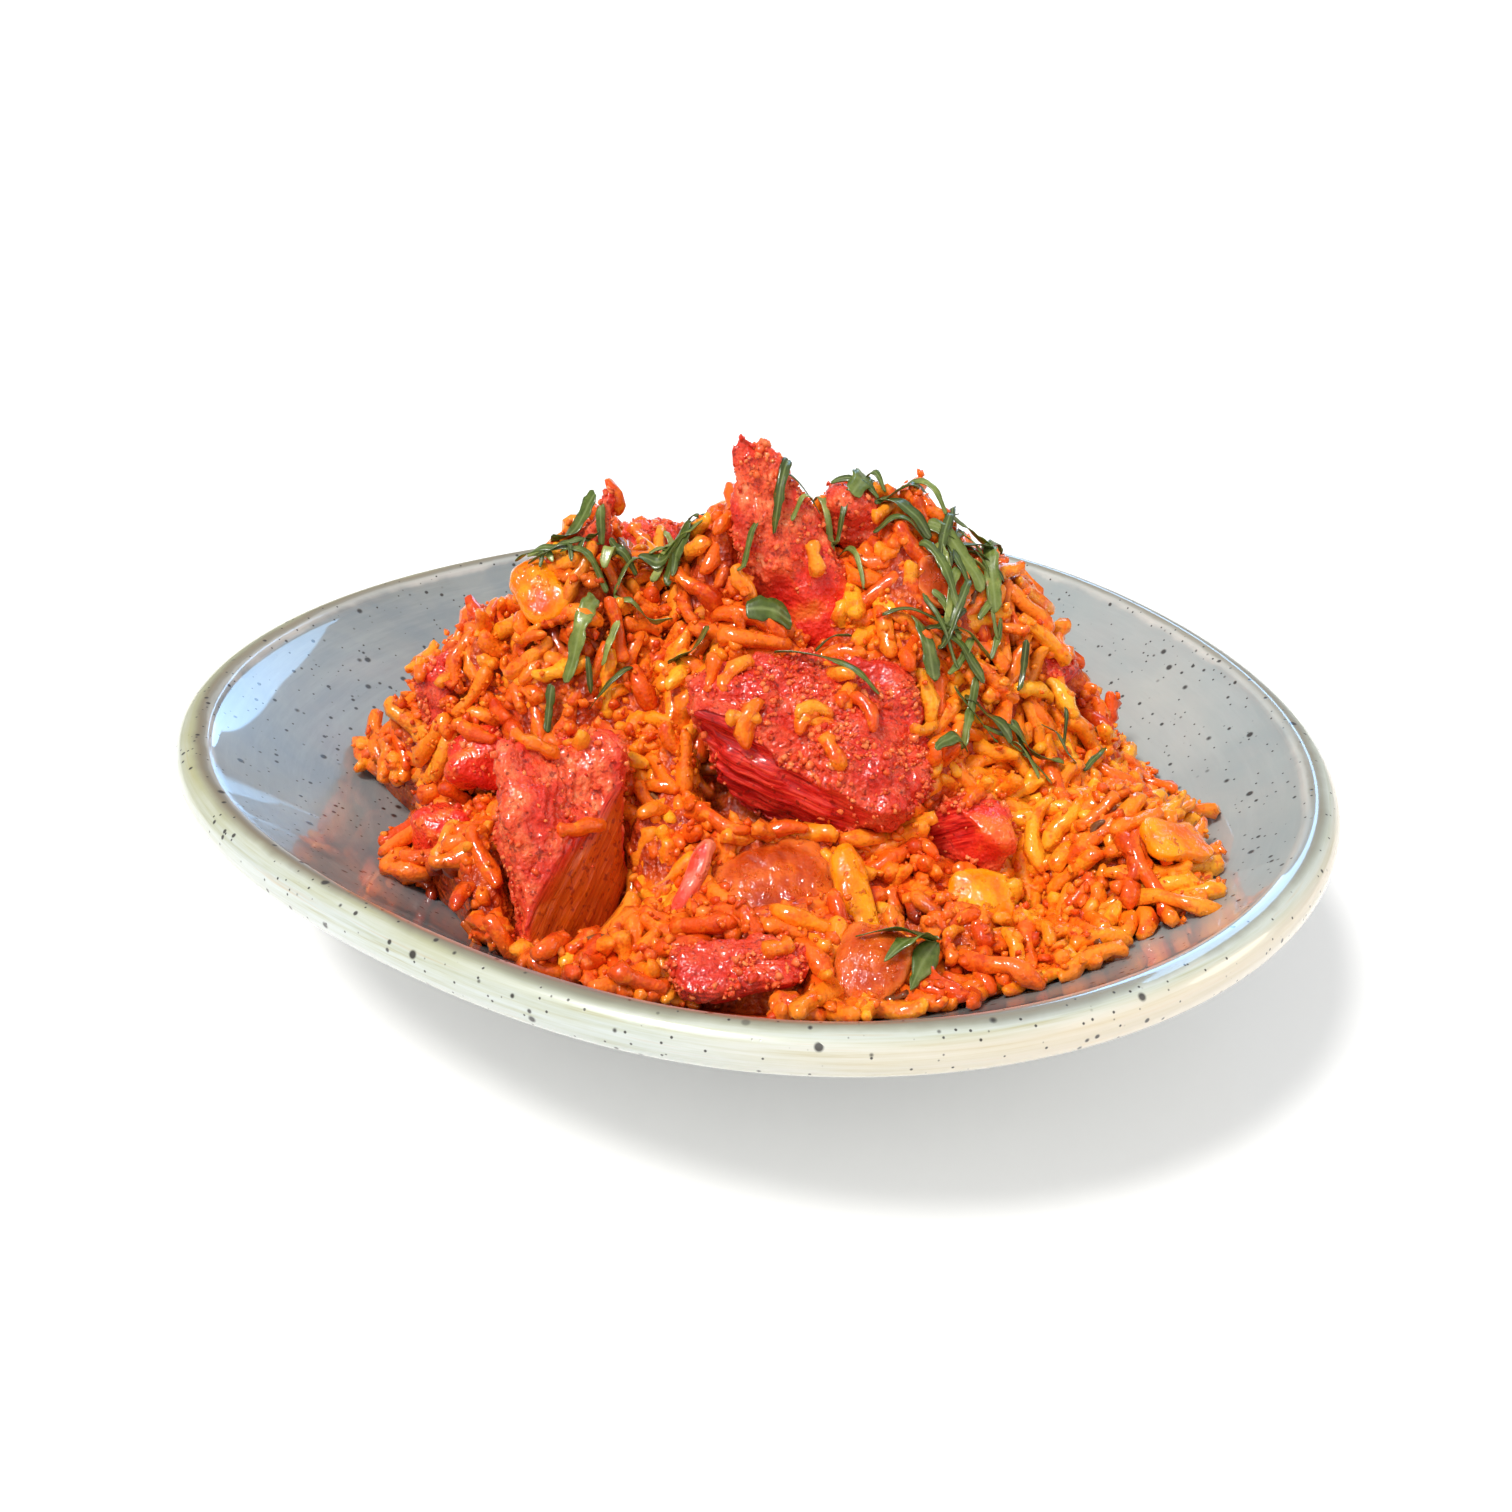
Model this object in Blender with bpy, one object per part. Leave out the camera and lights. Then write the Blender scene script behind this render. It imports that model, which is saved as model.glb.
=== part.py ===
"""Chicken biryani served in a wide, softly three-cornered stoneware bowl.

Units are metres, +Z is up and the bowl stands on Z = 0. Sizes below are in millimetres and are
turned into metres by MM where a mesh is made. Places are measured from the middle of the bowl's
plan; the eater sits on the -Y side.

The food is a heap of long-grain rice with pieces of tandoori chicken, onion and sweet pepper set
into pockets of the heap, and shreds of fresh herb laid on top.
"""

import math

import bmesh
import bpy
import numpy as np
from mathutils import Euler, Vector
from mathutils.bvhtree import BVHTree

MM = 0.001

# ---- Driving dimensions of the bowl (mm) ----
RIM_RADIUS = 104.0          # mean radius of the rim's outer edge
RIM_WAVES = ((2, 0.0397, -0.0396), (3, -0.0333, 0.0031), (4, 0.0098, -0.0097))
ROUND_BELOW = 45.0          # inside this radius the bowl is a plain circle
RIM_INNER_RADIUS = 98.0     # where the inside wall meets the rim
BOWL_HEIGHT = 47.0
INNER_FLOOR = 10.0          # height of the inside at the middle
INNER_CURVE = 2.3           # power of the inside wall's curve
RIM_DROP = 0.6              # the inner edge of the rim lies this much below its top
WALL = 6.0
FOOT_OUTER_RADIUS = 43.0
FOOT_WIDTH = 5.0
BASE_UNDERSIDE = 4.0        # height of the base inside the foot ring
SIDES = 42                  # segments round the bowl and the heap

# ---- Driving dimensions of the food (mm) ----
GAP = 0.3                   # clearance between pieces that touch
POCKET_GAP = 0.4            # clearance of a piece in its pocket in the rice
GRAIN_LENGTH = 14.0
GRAIN_RADIUS = 1.6
GRAIN_SIDES = 4
GRAIN_BEND = 1.3            # how far the middle of a grain bows out
GRAIN_TILT = 16.0           # grains stand out of the heap by up to this angle
GRAIN_COUNT = 108
GRAIN_SPACING = 8.8
HEAP_EDGE = 2.0             # thickness of the heap where it thins out on the wall
HEAP_BLEND = 3.0            # how softly neighbouring mounds run together
BUMP_HEIGHT = 1.3           # the heap's own lumps, of grain size
HERB_THICKNESS = 0.6
HERB_STATIONS = 6
LARGE_PIECE = 14.0          # pieces with a longer half size than this get finer faces
CHICKEN_LUMPS = 0.3         # depth of the lumps, as a share of the piece's radius
VEGETABLE_LUMPS = 0.08

# Mounds that make up the heap: middle x, y, top z, reach along x and y, fall over that reach,
# and the power of the fall (1 is a cone, 2 a dome).
MOUNDS = (
    (6, 6, 77, 80, 70, 52, 1.25),
    (-2, 4, 87, 22, 24, 30, 2.0),
    (26, 4, 85, 26, 26, 30, 2.0),
    (-32, 2, 82, 18, 24, 28, 2.2),
    (44, 6, 77, 15, 24, 26, 2.2),
    (-50, 2, 63, 14, 18, 18, 2.2),
    (-63, 5, 44, 16, 16, 14, 2.2),
    (66, -40, 46, 19, 20, 15, 2.4),
    (10, -66, 41, 52, 18, 12, 2.6),
    (-46, -44, 41, 20, 20, 14, 2.3),
    (16, 40, 61, 44, 26, 22, 2.2),
)

# Chicken pieces: name, middle, half sizes along their own axes, turn about x, y, z in degrees,
# taper towards the top, sideways lean of the top, and squareness (2 is an egg, 8 a brick).
CHICKEN = (
    ("chicken_peak", (5, -5, 78.5), (15, 10, 23.5), (-6, -2, 10), 0.68, -0.30, 2.8),
    ("chicken_centre", (9, -30, 55), (20, 15, 9), (42, 6, 8), 0.0, 0.0, 3.6),
    ("chicken_wedge", (-33, -45.5, 43.5), (10, 8, 19), (-42, 8, 24), -0.1, 0.0, 7.0),
    ("chicken_left_glossy", (-50, -17, 45), (7, 6, 5.5), (20, 0, 20), 0.0, 0.0, 2.8),
    ("chicken_left_upper", (-59, -2.5, 50), (6, 7, 9), (-10, -15, 0), 0.2, 0.0, 3.2),
    ("chicken_left_lower", (-58, -26, 35), (5, 5, 5), (0, 0, 30), 0.0, 0.0, 3.2),
    ("chicken_back_right", (53, 3, 55), (8, 10, 15), (0, -40, 0), 0.2, 0.0, 3.2),
    ("chicken_front", (-3, -74.5, 38.5), (10, 5.5, 4.5), (20, 0, 5), 0.0, 0.0, 3.2),
    ("chicken_lower_right", (37, -38, 43), (8, 6, 6), (30, 0, -15), 0.0, 0.0, 3.2),
    ("chicken_tip", (-29, 3, 82), (3.5, 4, 7), (0, 14, 0), 0.5, 0.0, 2.8),
    ("chicken_crest", (19, 6, 84), (8, 8, 6), (0, 12, 0), 0.1, 0.0, 3.2),
    ("chicken_rear_left", (-26, 38, 60), (13, 11, 9), (-35, 0, 20), 0.0, 0.0, 3.6),
    ("chicken_rear_right", (36, 46, 55), (12, 14, 9), (-38, 0, -25), 0.0, 0.0, 4.5),
)

# Onion and pepper: name, middle, half sizes, turn in degrees, how far the ends curl up.
VEGETABLES = (
    ("onion_petal", (3, -54, 40.0), (10.5, 11, 1.9), (30, -4, 8), -3.0),
    ("onion_front", (18, -73, 40), (6, 7, 1.8), (30, 0, -20), -1.5),
    ("onion_curl", (33, -9, 76.5), (5.5, 5, 1.8), (35, 20, 0), 2.0),
    ("pepper_strip", (16.5, -57, 41), (3.2, 11, 2.0), (32, 0, 16), -1.0),
    ("pepper_triangle", (38, -51, 36.5), (6, 5, 2.0), (35, 10, 0), 0.0),
    ("pepper_top_left", (-40, -6, 74), (4.5, 7, 2.6), (30, -30, 20), -1.5),
    ("pepper_flap", (71, -45, 44), (7, 5, 2.0), (15, 20, 20), 1.0),
    ("pepper_pink", (-11, -54, 42), (1.8, 8.0, 1.5), (28, 0, -25), 0.0),
    ("pepper_rear", (4, 52, 54), (8, 6, 2.0), (-35, 0, 0), -1.5),
)

# Herb shreds: name, x and y of the start, heading in degrees, length, width, sideways bend
# of the far end, and how high the middle arches off the food.
HERBS = (
    ("herb_left_bent", -38, 1, 12, 13, 3.4, 3, 0.7),
    ("herb_left_long", -29, -10, 250, 17, 3.2, -3, 0.4),
    ("herb_left_cluster_a", -22, 2, -20, 15, 3.0, 3, 0.5),
    ("herb_left_cluster_b", -17, -3, 35, 12, 2.6, -2, 0.4),
    ("herb_mid_left", -16, -18, 5, 10, 3.4, 3, 0.4),
    ("herb_peak_leaf", -2, -17.5, 5, 9, 4.0, 1, 0.4),
    ("herb_top_a", 17, -2, 60, 12, 3.8, 3, 0.7),
    ("herb_top_b", 22, 1, -15, 12, 2.8, -2, 0.8),
    ("herb_right_cluster_a", 31, 0, -30, 16, 3.2, -3, 0.8),
    ("herb_right_cluster_b", 43, 3, 265, 15, 3.0, 2, 0.7),
    ("herb_right_cluster_c", 33, -2, 10, 12, 2.6, 2, 0.7),
    ("herb_right_mid_a", 28, -16, -75, 13, 3.4, 2, 0.5),
    ("herb_right_mid_b", 34, -17, -30, 11, 2.8, 2, 0.5),
    ("herb_right_mid_c", 37, -21, -10, 12, 3.0, -2, 0.4),
    ("herb_centre_strip", 3, -24, -10, 20, 1.6, -3, 0.6),
    ("herb_right_strip", 45, -21, -15, 14, 2.4, 2, 0.8),
    ("herb_front_leaf", 17, -76, 30, 15, 4.6, 2, 0.8),
    ("herb_rear_a", -8, 34, 40, 14, 3.2, 3, 0.5),
    ("herb_rear_b", 24, 32, 160, 13, 3.0, -3, 0.5),
)

COLOURS = {                 # base colour, roughness
    "bowl": ((0.42, 0.50, 0.54), 0.22),
    "rice": ((0.75, 0.20, 0.03), 0.45),
    "chicken": ((0.50, 0.05, 0.03), 0.45),
    "onion": ((0.42, 0.14, 0.04), 0.25),
    "pepper": ((0.75, 0.22, 0.02), 0.25),
    "herb": ((0.03, 0.10, 0.02), 0.50),
}


# ---------------------------------------------------------------- scene and mesh helpers

def clear_scene():
    """Remove every object of the open file."""
    for item in list(bpy.data.objects):
        bpy.data.objects.remove(item, do_unlink=True)


def material(kind):
    """One plain material for each kind of piece."""
    if kind in bpy.data.materials:
        return bpy.data.materials[kind]
    colour, roughness = COLOURS[kind]
    made = bpy.data.materials.new(kind)
    made.use_nodes = True
    shader = made.node_tree.nodes["Principled BSDF"]
    shader.inputs["Base Color"].default_value = (*colour, 1.0)
    shader.inputs["Roughness"].default_value = roughness
    return made


def add_object(name, kind, points, faces, collection=None):
    """Make an object from points in millimetres."""
    mesh = bpy.data.meshes.new(name)
    mesh.from_pydata((np.asarray(points, float) * MM).tolist(), [], [tuple(face) for face in faces])
    mesh.materials.append(material(kind))
    mesh.update()
    made = bpy.data.objects.new(name, mesh)
    (collection or bpy.context.scene.collection).objects.link(made)
    return made


def face_outwards(made):
    """Turn the faces of a closed mesh so that they all point out."""
    shape = bmesh.new()
    shape.from_mesh(made.data)
    bmesh.ops.recalc_face_normals(shape, faces=shape.faces)
    shape.to_mesh(made.data)
    shape.free()


def shade(made, angle=40.0):
    """Smooth shading with sharp edges kept."""
    made.data.shade_smooth()
    made.data.set_sharp_from_angle(angle=math.radians(angle))


def ring_faces(rings, sides):
    """Quads between neighbouring rings of points, stored one ring after another."""
    faces = []
    for ring in range(rings - 1):
        for side in range(sides):
            after = (side + 1) % sides
            low, high = ring * sides, (ring + 1) * sides
            faces.append((low + side, low + after, high + after, high + side))
    return faces


def closed_turning(name, kind, rings, first_tip, last_tip):
    """A closed body from rings of SIDES points with a tip point at each end."""
    points = np.concatenate([np.concatenate(rings), [first_tip], [last_tip]])
    faces = ring_faces(len(rings), SIDES)
    start, end = len(points) - 2, len(points) - 1
    last = (len(rings) - 1) * SIDES
    for side in range(SIDES):
        after = (side + 1) % SIDES
        faces.append((start, after, side))
        faces.append((end, last + side, last + after))
    made = add_object(name, kind, points, faces)
    face_outwards(made)
    return made


def world_tree(items):
    """One search tree over the faces of several objects, in world space."""
    points, faces = [], []
    for item in items:
        base = len(points)
        points.extend(item.matrix_world @ vertex.co for vertex in item.data.vertices)
        faces.extend([base + index for index in face.vertices] for face in item.data.polygons)
    return BVHTree.FromPolygons(points, faces, epsilon=0.0)


def apply_boolean(target, operand, operation):
    """Join a collection to the target, or cut it out, and keep the result as its mesh."""
    modifier = target.modifiers.new(operation.lower(), "BOOLEAN")
    modifier.operation = operation
    modifier.operand_type = "COLLECTION"
    modifier.collection = operand
    modifier.solver = "MANIFOLD"
    result = bpy.data.meshes.new_from_object(
        target.evaluated_get(bpy.context.evaluated_depsgraph_get()))
    target.modifiers.clear()
    target.data = result
    for item in list(operand.objects):
        bpy.data.objects.remove(item, do_unlink=True)


def free_doubled_diagonals(shape):
    """Part a diagonal from an edge that two other faces already share, by adding its middle point."""
    for edge in [edge for edge in shape.edges if len(edge.link_faces) == 4]:
        pairs = [(loop, other) for loop in edge.link_loops for other in edge.link_loops
                 if loop.vert != other.vert]
        loop, other = max(pairs, key=lambda pair: pair[0].face.normal.dot(pair[1].face.normal))
        start, end = loop.vert, other.vert
        tip, far = loop.link_loop_prev.vert, other.link_loop_prev.vert
        middle = shape.verts.new((start.co + end.co) / 2)
        for corners in ((start, middle, tip), (middle, end, tip), (end, middle, far), (middle, start, far)):
            shape.faces.new(corners)
        bmesh.ops.delete(shape, geom=[loop.face, other.face], context="FACES_ONLY")


def keep_largest_shell(target):
    """Drop loose scraps and sealed hollows, so that one closed body is left."""
    shape = bmesh.new()
    shape.from_mesh(target.data)
    bmesh.ops.triangulate(shape, faces=shape.faces)
    shape.normal_update()
    free_doubled_diagonals(shape)
    shells, seen = [], set()
    for vertex in shape.verts:
        if vertex in seen:
            continue
        shell, front = [], [vertex]
        seen.add(vertex)
        while front:
            current = front.pop()
            shell.append(current)
            for edge in current.link_edges:
                other = edge.other_vert(current)
                if other not in seen:
                    seen.add(other)
                    front.append(other)
        shells.append(shell)
    shells.sort(key=len, reverse=True)
    for shell in shells[1:]:
        bmesh.ops.delete(shape, geom=shell, context="VERTS")
    shape.to_mesh(target.data)
    shape.free()


# ---------------------------------------------------------------- the bowl

ANGLES = np.arange(SIDES) * 2 * math.pi / SIDES


def waves(angle):
    """How far the plan departs from a circle, as a share of the radius."""
    return sum(a * np.cos(n * angle) + b * np.sin(n * angle) for n, a, b in RIM_WAVES)


def wave_share(mean_radius):
    """The plan is a circle at the foot and takes its full shape at the rim."""
    share = np.clip((mean_radius - ROUND_BELOW) / (RIM_INNER_RADIUS - ROUND_BELOW), 0, 1)
    return share * share * (3 - 2 * share)


def plan_radius(mean_radius, angle):
    return mean_radius * (1 + wave_share(mean_radius) * waves(angle))


def plan_centre():
    """Middle of the rim's bounding box, which becomes x = y = 0."""
    radius = plan_radius(RIM_RADIUS, ANGLES)
    x, y = radius * np.cos(ANGLES), radius * np.sin(ANGLES)
    return np.array([(x.min() + x.max()) / 2, (y.min() + y.max()) / 2, 0.0])


CENTRE = plan_centre()


def inside_height(mean_radius):
    """Height of the bowl's inside, a power curve from the middle to the rim."""
    rise = BOWL_HEIGHT - RIM_DROP - INNER_FLOOR
    return INNER_FLOOR + rise * (mean_radius / RIM_INNER_RADIUS) ** INNER_CURVE


def wall_underside(mean_radius):
    """The point under the inside at a mean radius, one wall thickness away."""
    step = 0.01
    slope = (inside_height(mean_radius + step) - inside_height(mean_radius)) / step
    tilt = math.atan(slope)
    return (mean_radius + WALL * math.sin(tilt), inside_height(mean_radius) - WALL * math.cos(tilt))


INSIDE_RINGS = (24.0, 44.0, 60.0, 73.0, 84.0, 92.0, RIM_INNER_RADIUS)


def turned_ring(mean_radius, height):
    radius = plan_radius(mean_radius, ANGLES)
    flat = np.full(SIDES, float(height))
    return np.stack([radius * np.cos(ANGLES), radius * np.sin(ANGLES), flat], 1) - CENTRE


def make_bowl():
    """The bowl's wall: inside, rolled rim, outside and foot ring, turned to the wavy plan."""
    inside = [(radius, inside_height(radius)) for radius in INSIDE_RINGS]
    rim = [(RIM_RADIUS - 4.2, BOWL_HEIGHT), (RIM_RADIUS - 1.6, BOWL_HEIGHT - 0.9),
           (RIM_RADIUS, BOWL_HEIGHT - 4.0), (RIM_RADIUS - 1.0, BOWL_HEIGHT - 6.6),
           (RIM_RADIUS - 3.4, BOWL_HEIGHT - 8.2)]
    outside = [wall_underside(radius) for radius in (90.0, 78.0, 64.0, 50.0)]
    ring_top = wall_underside(FOOT_OUTER_RADIUS - 1.0)[1]
    foot_inner = FOOT_OUTER_RADIUS - FOOT_WIDTH
    foot = [(FOOT_OUTER_RADIUS + 0.8, ring_top), (FOOT_OUTER_RADIUS, 0.8), (FOOT_OUTER_RADIUS - 0.8, 0.0),
            (foot_inner + 0.8, 0.0), (foot_inner, 0.8), (foot_inner - 0.5, BASE_UNDERSIDE)]
    rings = [turned_ring(radius, height) for radius, height in inside + rim + outside + foot]
    middle = np.array([0.0, 0.0, 0.0]) - CENTRE
    bowl = closed_turning("bowl", "bowl", rings, middle + (0, 0, INNER_FLOOR),
                          middle + (0, 0, BASE_UNDERSIDE))
    shade(bowl)
    return bowl


# ---------------------------------------------------------------- the heap of rice

def heap_height(x, y):
    """Height of the heap: the soft maximum of its mounds."""
    heights = []
    for middle_x, middle_y, top, reach_x, reach_y, fall, power in MOUNDS:
        away = np.hypot((x - middle_x) / reach_x, (y - middle_y) / reach_y)
        heights.append(top - fall * away ** power)
    heights = np.array(heights)
    highest = heights.max(axis=0)
    return highest + HEAP_BLEND * np.log(np.exp((heights - highest) / HEAP_BLEND).sum(axis=0))


def inside_along_ray(mean_radius):
    """The bowl's faceted inside along one of its meridians."""
    rings = np.array((0.0,) + INSIDE_RINGS)
    return np.interp(mean_radius, rings, inside_height(rings))


def heap_edge_radius():
    """Mean radius at which the heap thins out, for each angle."""
    steps = np.linspace(30.0, 92.0, 249)
    edges = []
    for angle in ANGLES:
        radius = plan_radius(steps, angle)
        height = heap_height(radius * math.cos(angle), radius * math.sin(angle))
        thick = height - inside_along_ray(steps) > HEAP_EDGE
        edges.append(steps[thick].max() if thick.any() else steps[0])
    edges = np.array(edges)
    return (np.roll(edges, 1) + 2 * edges + np.roll(edges, -1)) / 4


def make_rice_core(rng):
    """The heap without its loose grains: mounds above, the bowl's inside below."""
    edges = heap_edge_radius()
    rings = []
    top_shares = (0.12, 0.25, 0.38, 0.5, 0.61, 0.72, 0.82, 0.92, 1.0)
    for share in top_shares:
        mean = edges * share
        radius = plan_radius(mean, ANGLES)
        if share < 1:
            radius = radius + rng.uniform(-1.2, 1.2, SIDES)
        x, y = radius * np.cos(ANGLES), radius * np.sin(ANGLES)
        height = heap_height(x, y) + rng.uniform(-BUMP_HEIGHT, BUMP_HEIGHT, SIDES)
        height = np.maximum(height, inside_along_ray(mean) + GAP + HEAP_EDGE * 0.6)
        rings.append(np.stack([x, y, height], 1) - CENTRE)
    below = [np.minimum(edges, limit) for limit in (RIM_INNER_RADIUS, 84.0, 73.0, 60.0, 44.0, 24.0)]
    for index, mean in enumerate(below):
        if index:
            mean = np.minimum(mean, edges - 0.6 * index)
        radius = plan_radius(mean, ANGLES)
        height = inside_along_ray(mean) + GAP
        rings.append(np.stack([radius * np.cos(ANGLES), radius * np.sin(ANGLES), height], 1) - CENTRE)
    rings.reverse()
    top = np.array([0.0, 0.0, float(heap_height(np.array(0.0), np.array(0.0)))]) - CENTRE
    base = np.array([0.0, 0.0, INNER_FLOOR + GAP]) - CENTRE
    return closed_turning("rice", "rice", rings, base, top)


def grain_mesh(middle, along, up, length, bend):
    """A long grain: four-sided, three rings and two tips on a bowed line."""
    across = up.cross(along).normalized()
    sides = GRAIN_SIDES
    points = [middle - along * (length / 2) - up * bend]
    for place, thick in ((-0.34, 0.8), (0.0, 1.0), (0.34, 0.8)):
        bow = bend * (1 - (2 * place) ** 2) - bend
        station = middle + along * (place * length) + up * bow
        for side in range(sides):
            turn = 2 * math.pi * side / sides
            radius = GRAIN_RADIUS * thick
            points.append(station + across * (radius * math.cos(turn)) + up * (radius * math.sin(turn)))
    points.append(middle + along * (length / 2) - up * bend)
    faces = []
    for side in range(sides):
        after = (side + 1) % sides
        faces.append((0, 1 + after, 1 + side))
        for ring in range(2):
            low, high = 1 + ring * sides, 1 + (ring + 1) * sides
            faces.append((low + side, low + after, high + after, high + side))
        faces.append((len(points) - 1, 1 + 2 * sides + side, 1 + 2 * sides + after))
    return [tuple(point) for point in points], faces


def clear_of_bowl(points):
    """True where every point is above the bowl's inside and within the rim."""
    for point in points:
        x, y = point[0] + CENTRE[0], point[1] + CENTRE[1]
        angle, mean = math.atan2(y, x), math.hypot(x, y)
        radius = mean
        for _ in range(5):
            mean = radius / (1 + float(wave_share(mean)) * float(waves(angle)))
        if mean > RIM_INNER_RADIUS - 4 or point[2] < inside_height(mean) + 3 * GAP:
            return False
    return True


def scatter_places(core, rng):
    """Places spread evenly over the core's upper faces, each with its normal."""
    mesh = core.data
    mesh.calc_loop_triangles()
    corners = np.array([[mesh.vertices[index].co for index in triangle.vertices]
                        for triangle in mesh.loop_triangles]) / MM
    cross = np.cross(corners[:, 1] - corners[:, 0], corners[:, 2] - corners[:, 0])
    area = np.linalg.norm(cross, axis=1) / 2
    normals = cross / (2 * area[:, None])
    weight = np.where(normals[:, 2] > 0.15, area, 0.0)
    kept, kept_normals = np.empty((0, 3)), []
    for triangle in rng.choice(len(area), 6000, p=weight / weight.sum()):
        a, b = rng.random(2)
        if a + b > 1:
            a, b = 1 - a, 1 - b
        place = corners[triangle, 0] + a * (corners[triangle, 1] - corners[triangle, 0]) \
            + b * (corners[triangle, 2] - corners[triangle, 0])
        if len(kept) and np.linalg.norm(kept - place, axis=1).min() < GRAIN_SPACING:
            continue
        kept = np.vstack([kept, place])
        kept_normals.append(normals[triangle])
    return kept, kept_normals


def make_rice(cutters, rng):
    """Cut pockets for the larger pieces, then fuse on the grains that show."""
    core = make_rice_core(rng)
    places, normals = scatter_places(core, rng)
    blocked = world_tree(list(cutters.objects))
    grains = bpy.data.collections.new("grains")
    bpy.context.scene.collection.children.link(grains)
    count = 0
    for place, normal in zip(places, normals):
        if count == GRAIN_COUNT:
            break
        up = (Vector(normal) * 0.8 + Vector((0, 0, 0.2))).normalized()
        along = up.orthogonal().normalized()
        turn = rng.uniform(0, 2 * math.pi)
        along = (along * math.cos(turn) + up.cross(along) * math.sin(turn)).normalized()
        tilt = math.radians(rng.uniform(-GRAIN_TILT, GRAIN_TILT))
        along, up = along * math.cos(tilt) + up * math.sin(tilt), up * math.cos(tilt) - along * math.sin(tilt)
        length = GRAIN_LENGTH * rng.uniform(0.7, 1.05)
        middle = Vector(place) + up * rng.uniform(0.5, 1.5)
        points, faces = grain_mesh(middle, along, up, length, GRAIN_BEND * rng.uniform(0.3, 1.2))
        if not clear_of_bowl(points):
            continue
        grain_tree = BVHTree.FromPolygons([Vector(point) * MM for point in points], faces)
        if grain_tree.overlap(blocked):
            continue
        add_object(f"grain_{count}", "rice", points, faces, grains)
        count += 1
    apply_boolean(core, cutters, "DIFFERENCE")
    apply_boolean(core, grains, "UNION")
    for collection in (cutters, grains):
        bpy.data.collections.remove(collection)
    keep_largest_shell(core)
    return core


# ---------------------------------------------------------------- pieces set into the heap

def lumpy_ball(half, seed, roughness, power, subdivisions, taper=0.0, lean=0.0, curl=0.0):
    """A rounded block with shallow lumps: points and faces about its own middle, in mm."""
    shape = bmesh.new()
    bmesh.ops.create_icosphere(shape, subdivisions=subdivisions, radius=1.0)
    ball = np.array([vertex.co[:] for vertex in shape.verts])
    faces = [[vertex.index for vertex in face.verts] for face in shape.faces]
    shape.free()
    blocky = ball / ((np.abs(ball) ** power).sum(axis=1) ** (1 / power))[:, None]
    rng = np.random.default_rng(seed)
    ripple = np.zeros(len(ball))
    for _ in range(6):
        ripple += np.sin(ball @ rng.normal(0, 2.2, 3) + rng.uniform(0, 6.28)) / 6
    points = blocky * (1 + roughness * ripple)[:, None]
    narrowing = 1 - taper * (points[:, 2:3] + 1) / 2
    points[:, :2] *= narrowing
    points[:, 0] += lean * points[:, 2]
    points = points * np.array(half, float)
    points[:, 2] += curl * ((points[:, 0] / half[0]) ** 2 + (points[:, 1] / half[1]) ** 2) / 2
    return points, faces


def place_piece(name, kind, points, faces, middle, turn):
    made = add_object(name, kind, points, faces)
    made.location = (Vector(middle) - Vector(CENTRE)) * MM
    made.rotation_euler = Euler([math.radians(angle) for angle in turn])
    return made


def make_chicken():
    pieces = []
    for seed, (name, middle, half, turn, taper, lean, power) in enumerate(CHICKEN):
        divisions = 3 if max(half) > LARGE_PIECE else 2
        points, faces = lumpy_ball(half, seed, CHICKEN_LUMPS, power, divisions, taper, lean)
        pieces.append(place_piece(name, "chicken", points, faces, middle, turn))
    return pieces


def make_vegetables():
    pieces = []
    for seed, (name, middle, half, turn, curl) in enumerate(VEGETABLES, start=40):
        points, faces = lumpy_ball(half, seed, VEGETABLE_LUMPS, 2.6, 2, curl=curl)
        pieces.append(place_piece(name, name.split("_")[0], points, faces, middle, turn))
    return pieces


def make_cutters(pieces):
    """Copies of the pieces, grown by the pocket's clearance, to cut the rice with."""
    cutters = bpy.data.collections.new("cutters")
    bpy.context.scene.collection.children.link(cutters)
    for piece in pieces:
        cutter = bpy.data.objects.new(piece.name + "_cutter", piece.data.copy())
        cutter.location = piece.location
        cutter.rotation_euler = piece.rotation_euler
        cutter.hide_render = True
        cutter.display_type = "WIRE"
        cutters.objects.link(cutter)
        normals = [vertex.normal.copy() for vertex in cutter.data.vertices]
        for vertex, normal in zip(cutter.data.vertices, normals):
            vertex.co += normal * (POCKET_GAP * MM)
    bpy.context.view_layer.update()
    return cutters


# ---------------------------------------------------------------- herb shreds

def surface_height(tree, x, y):
    """Height in mm of the food under a point, or None where there is none."""
    hit = tree.ray_cast(Vector((x * MM, y * MM, 0.2)), Vector((0, 0, -1)))[0]
    return None if hit is None else hit.z / MM


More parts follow.
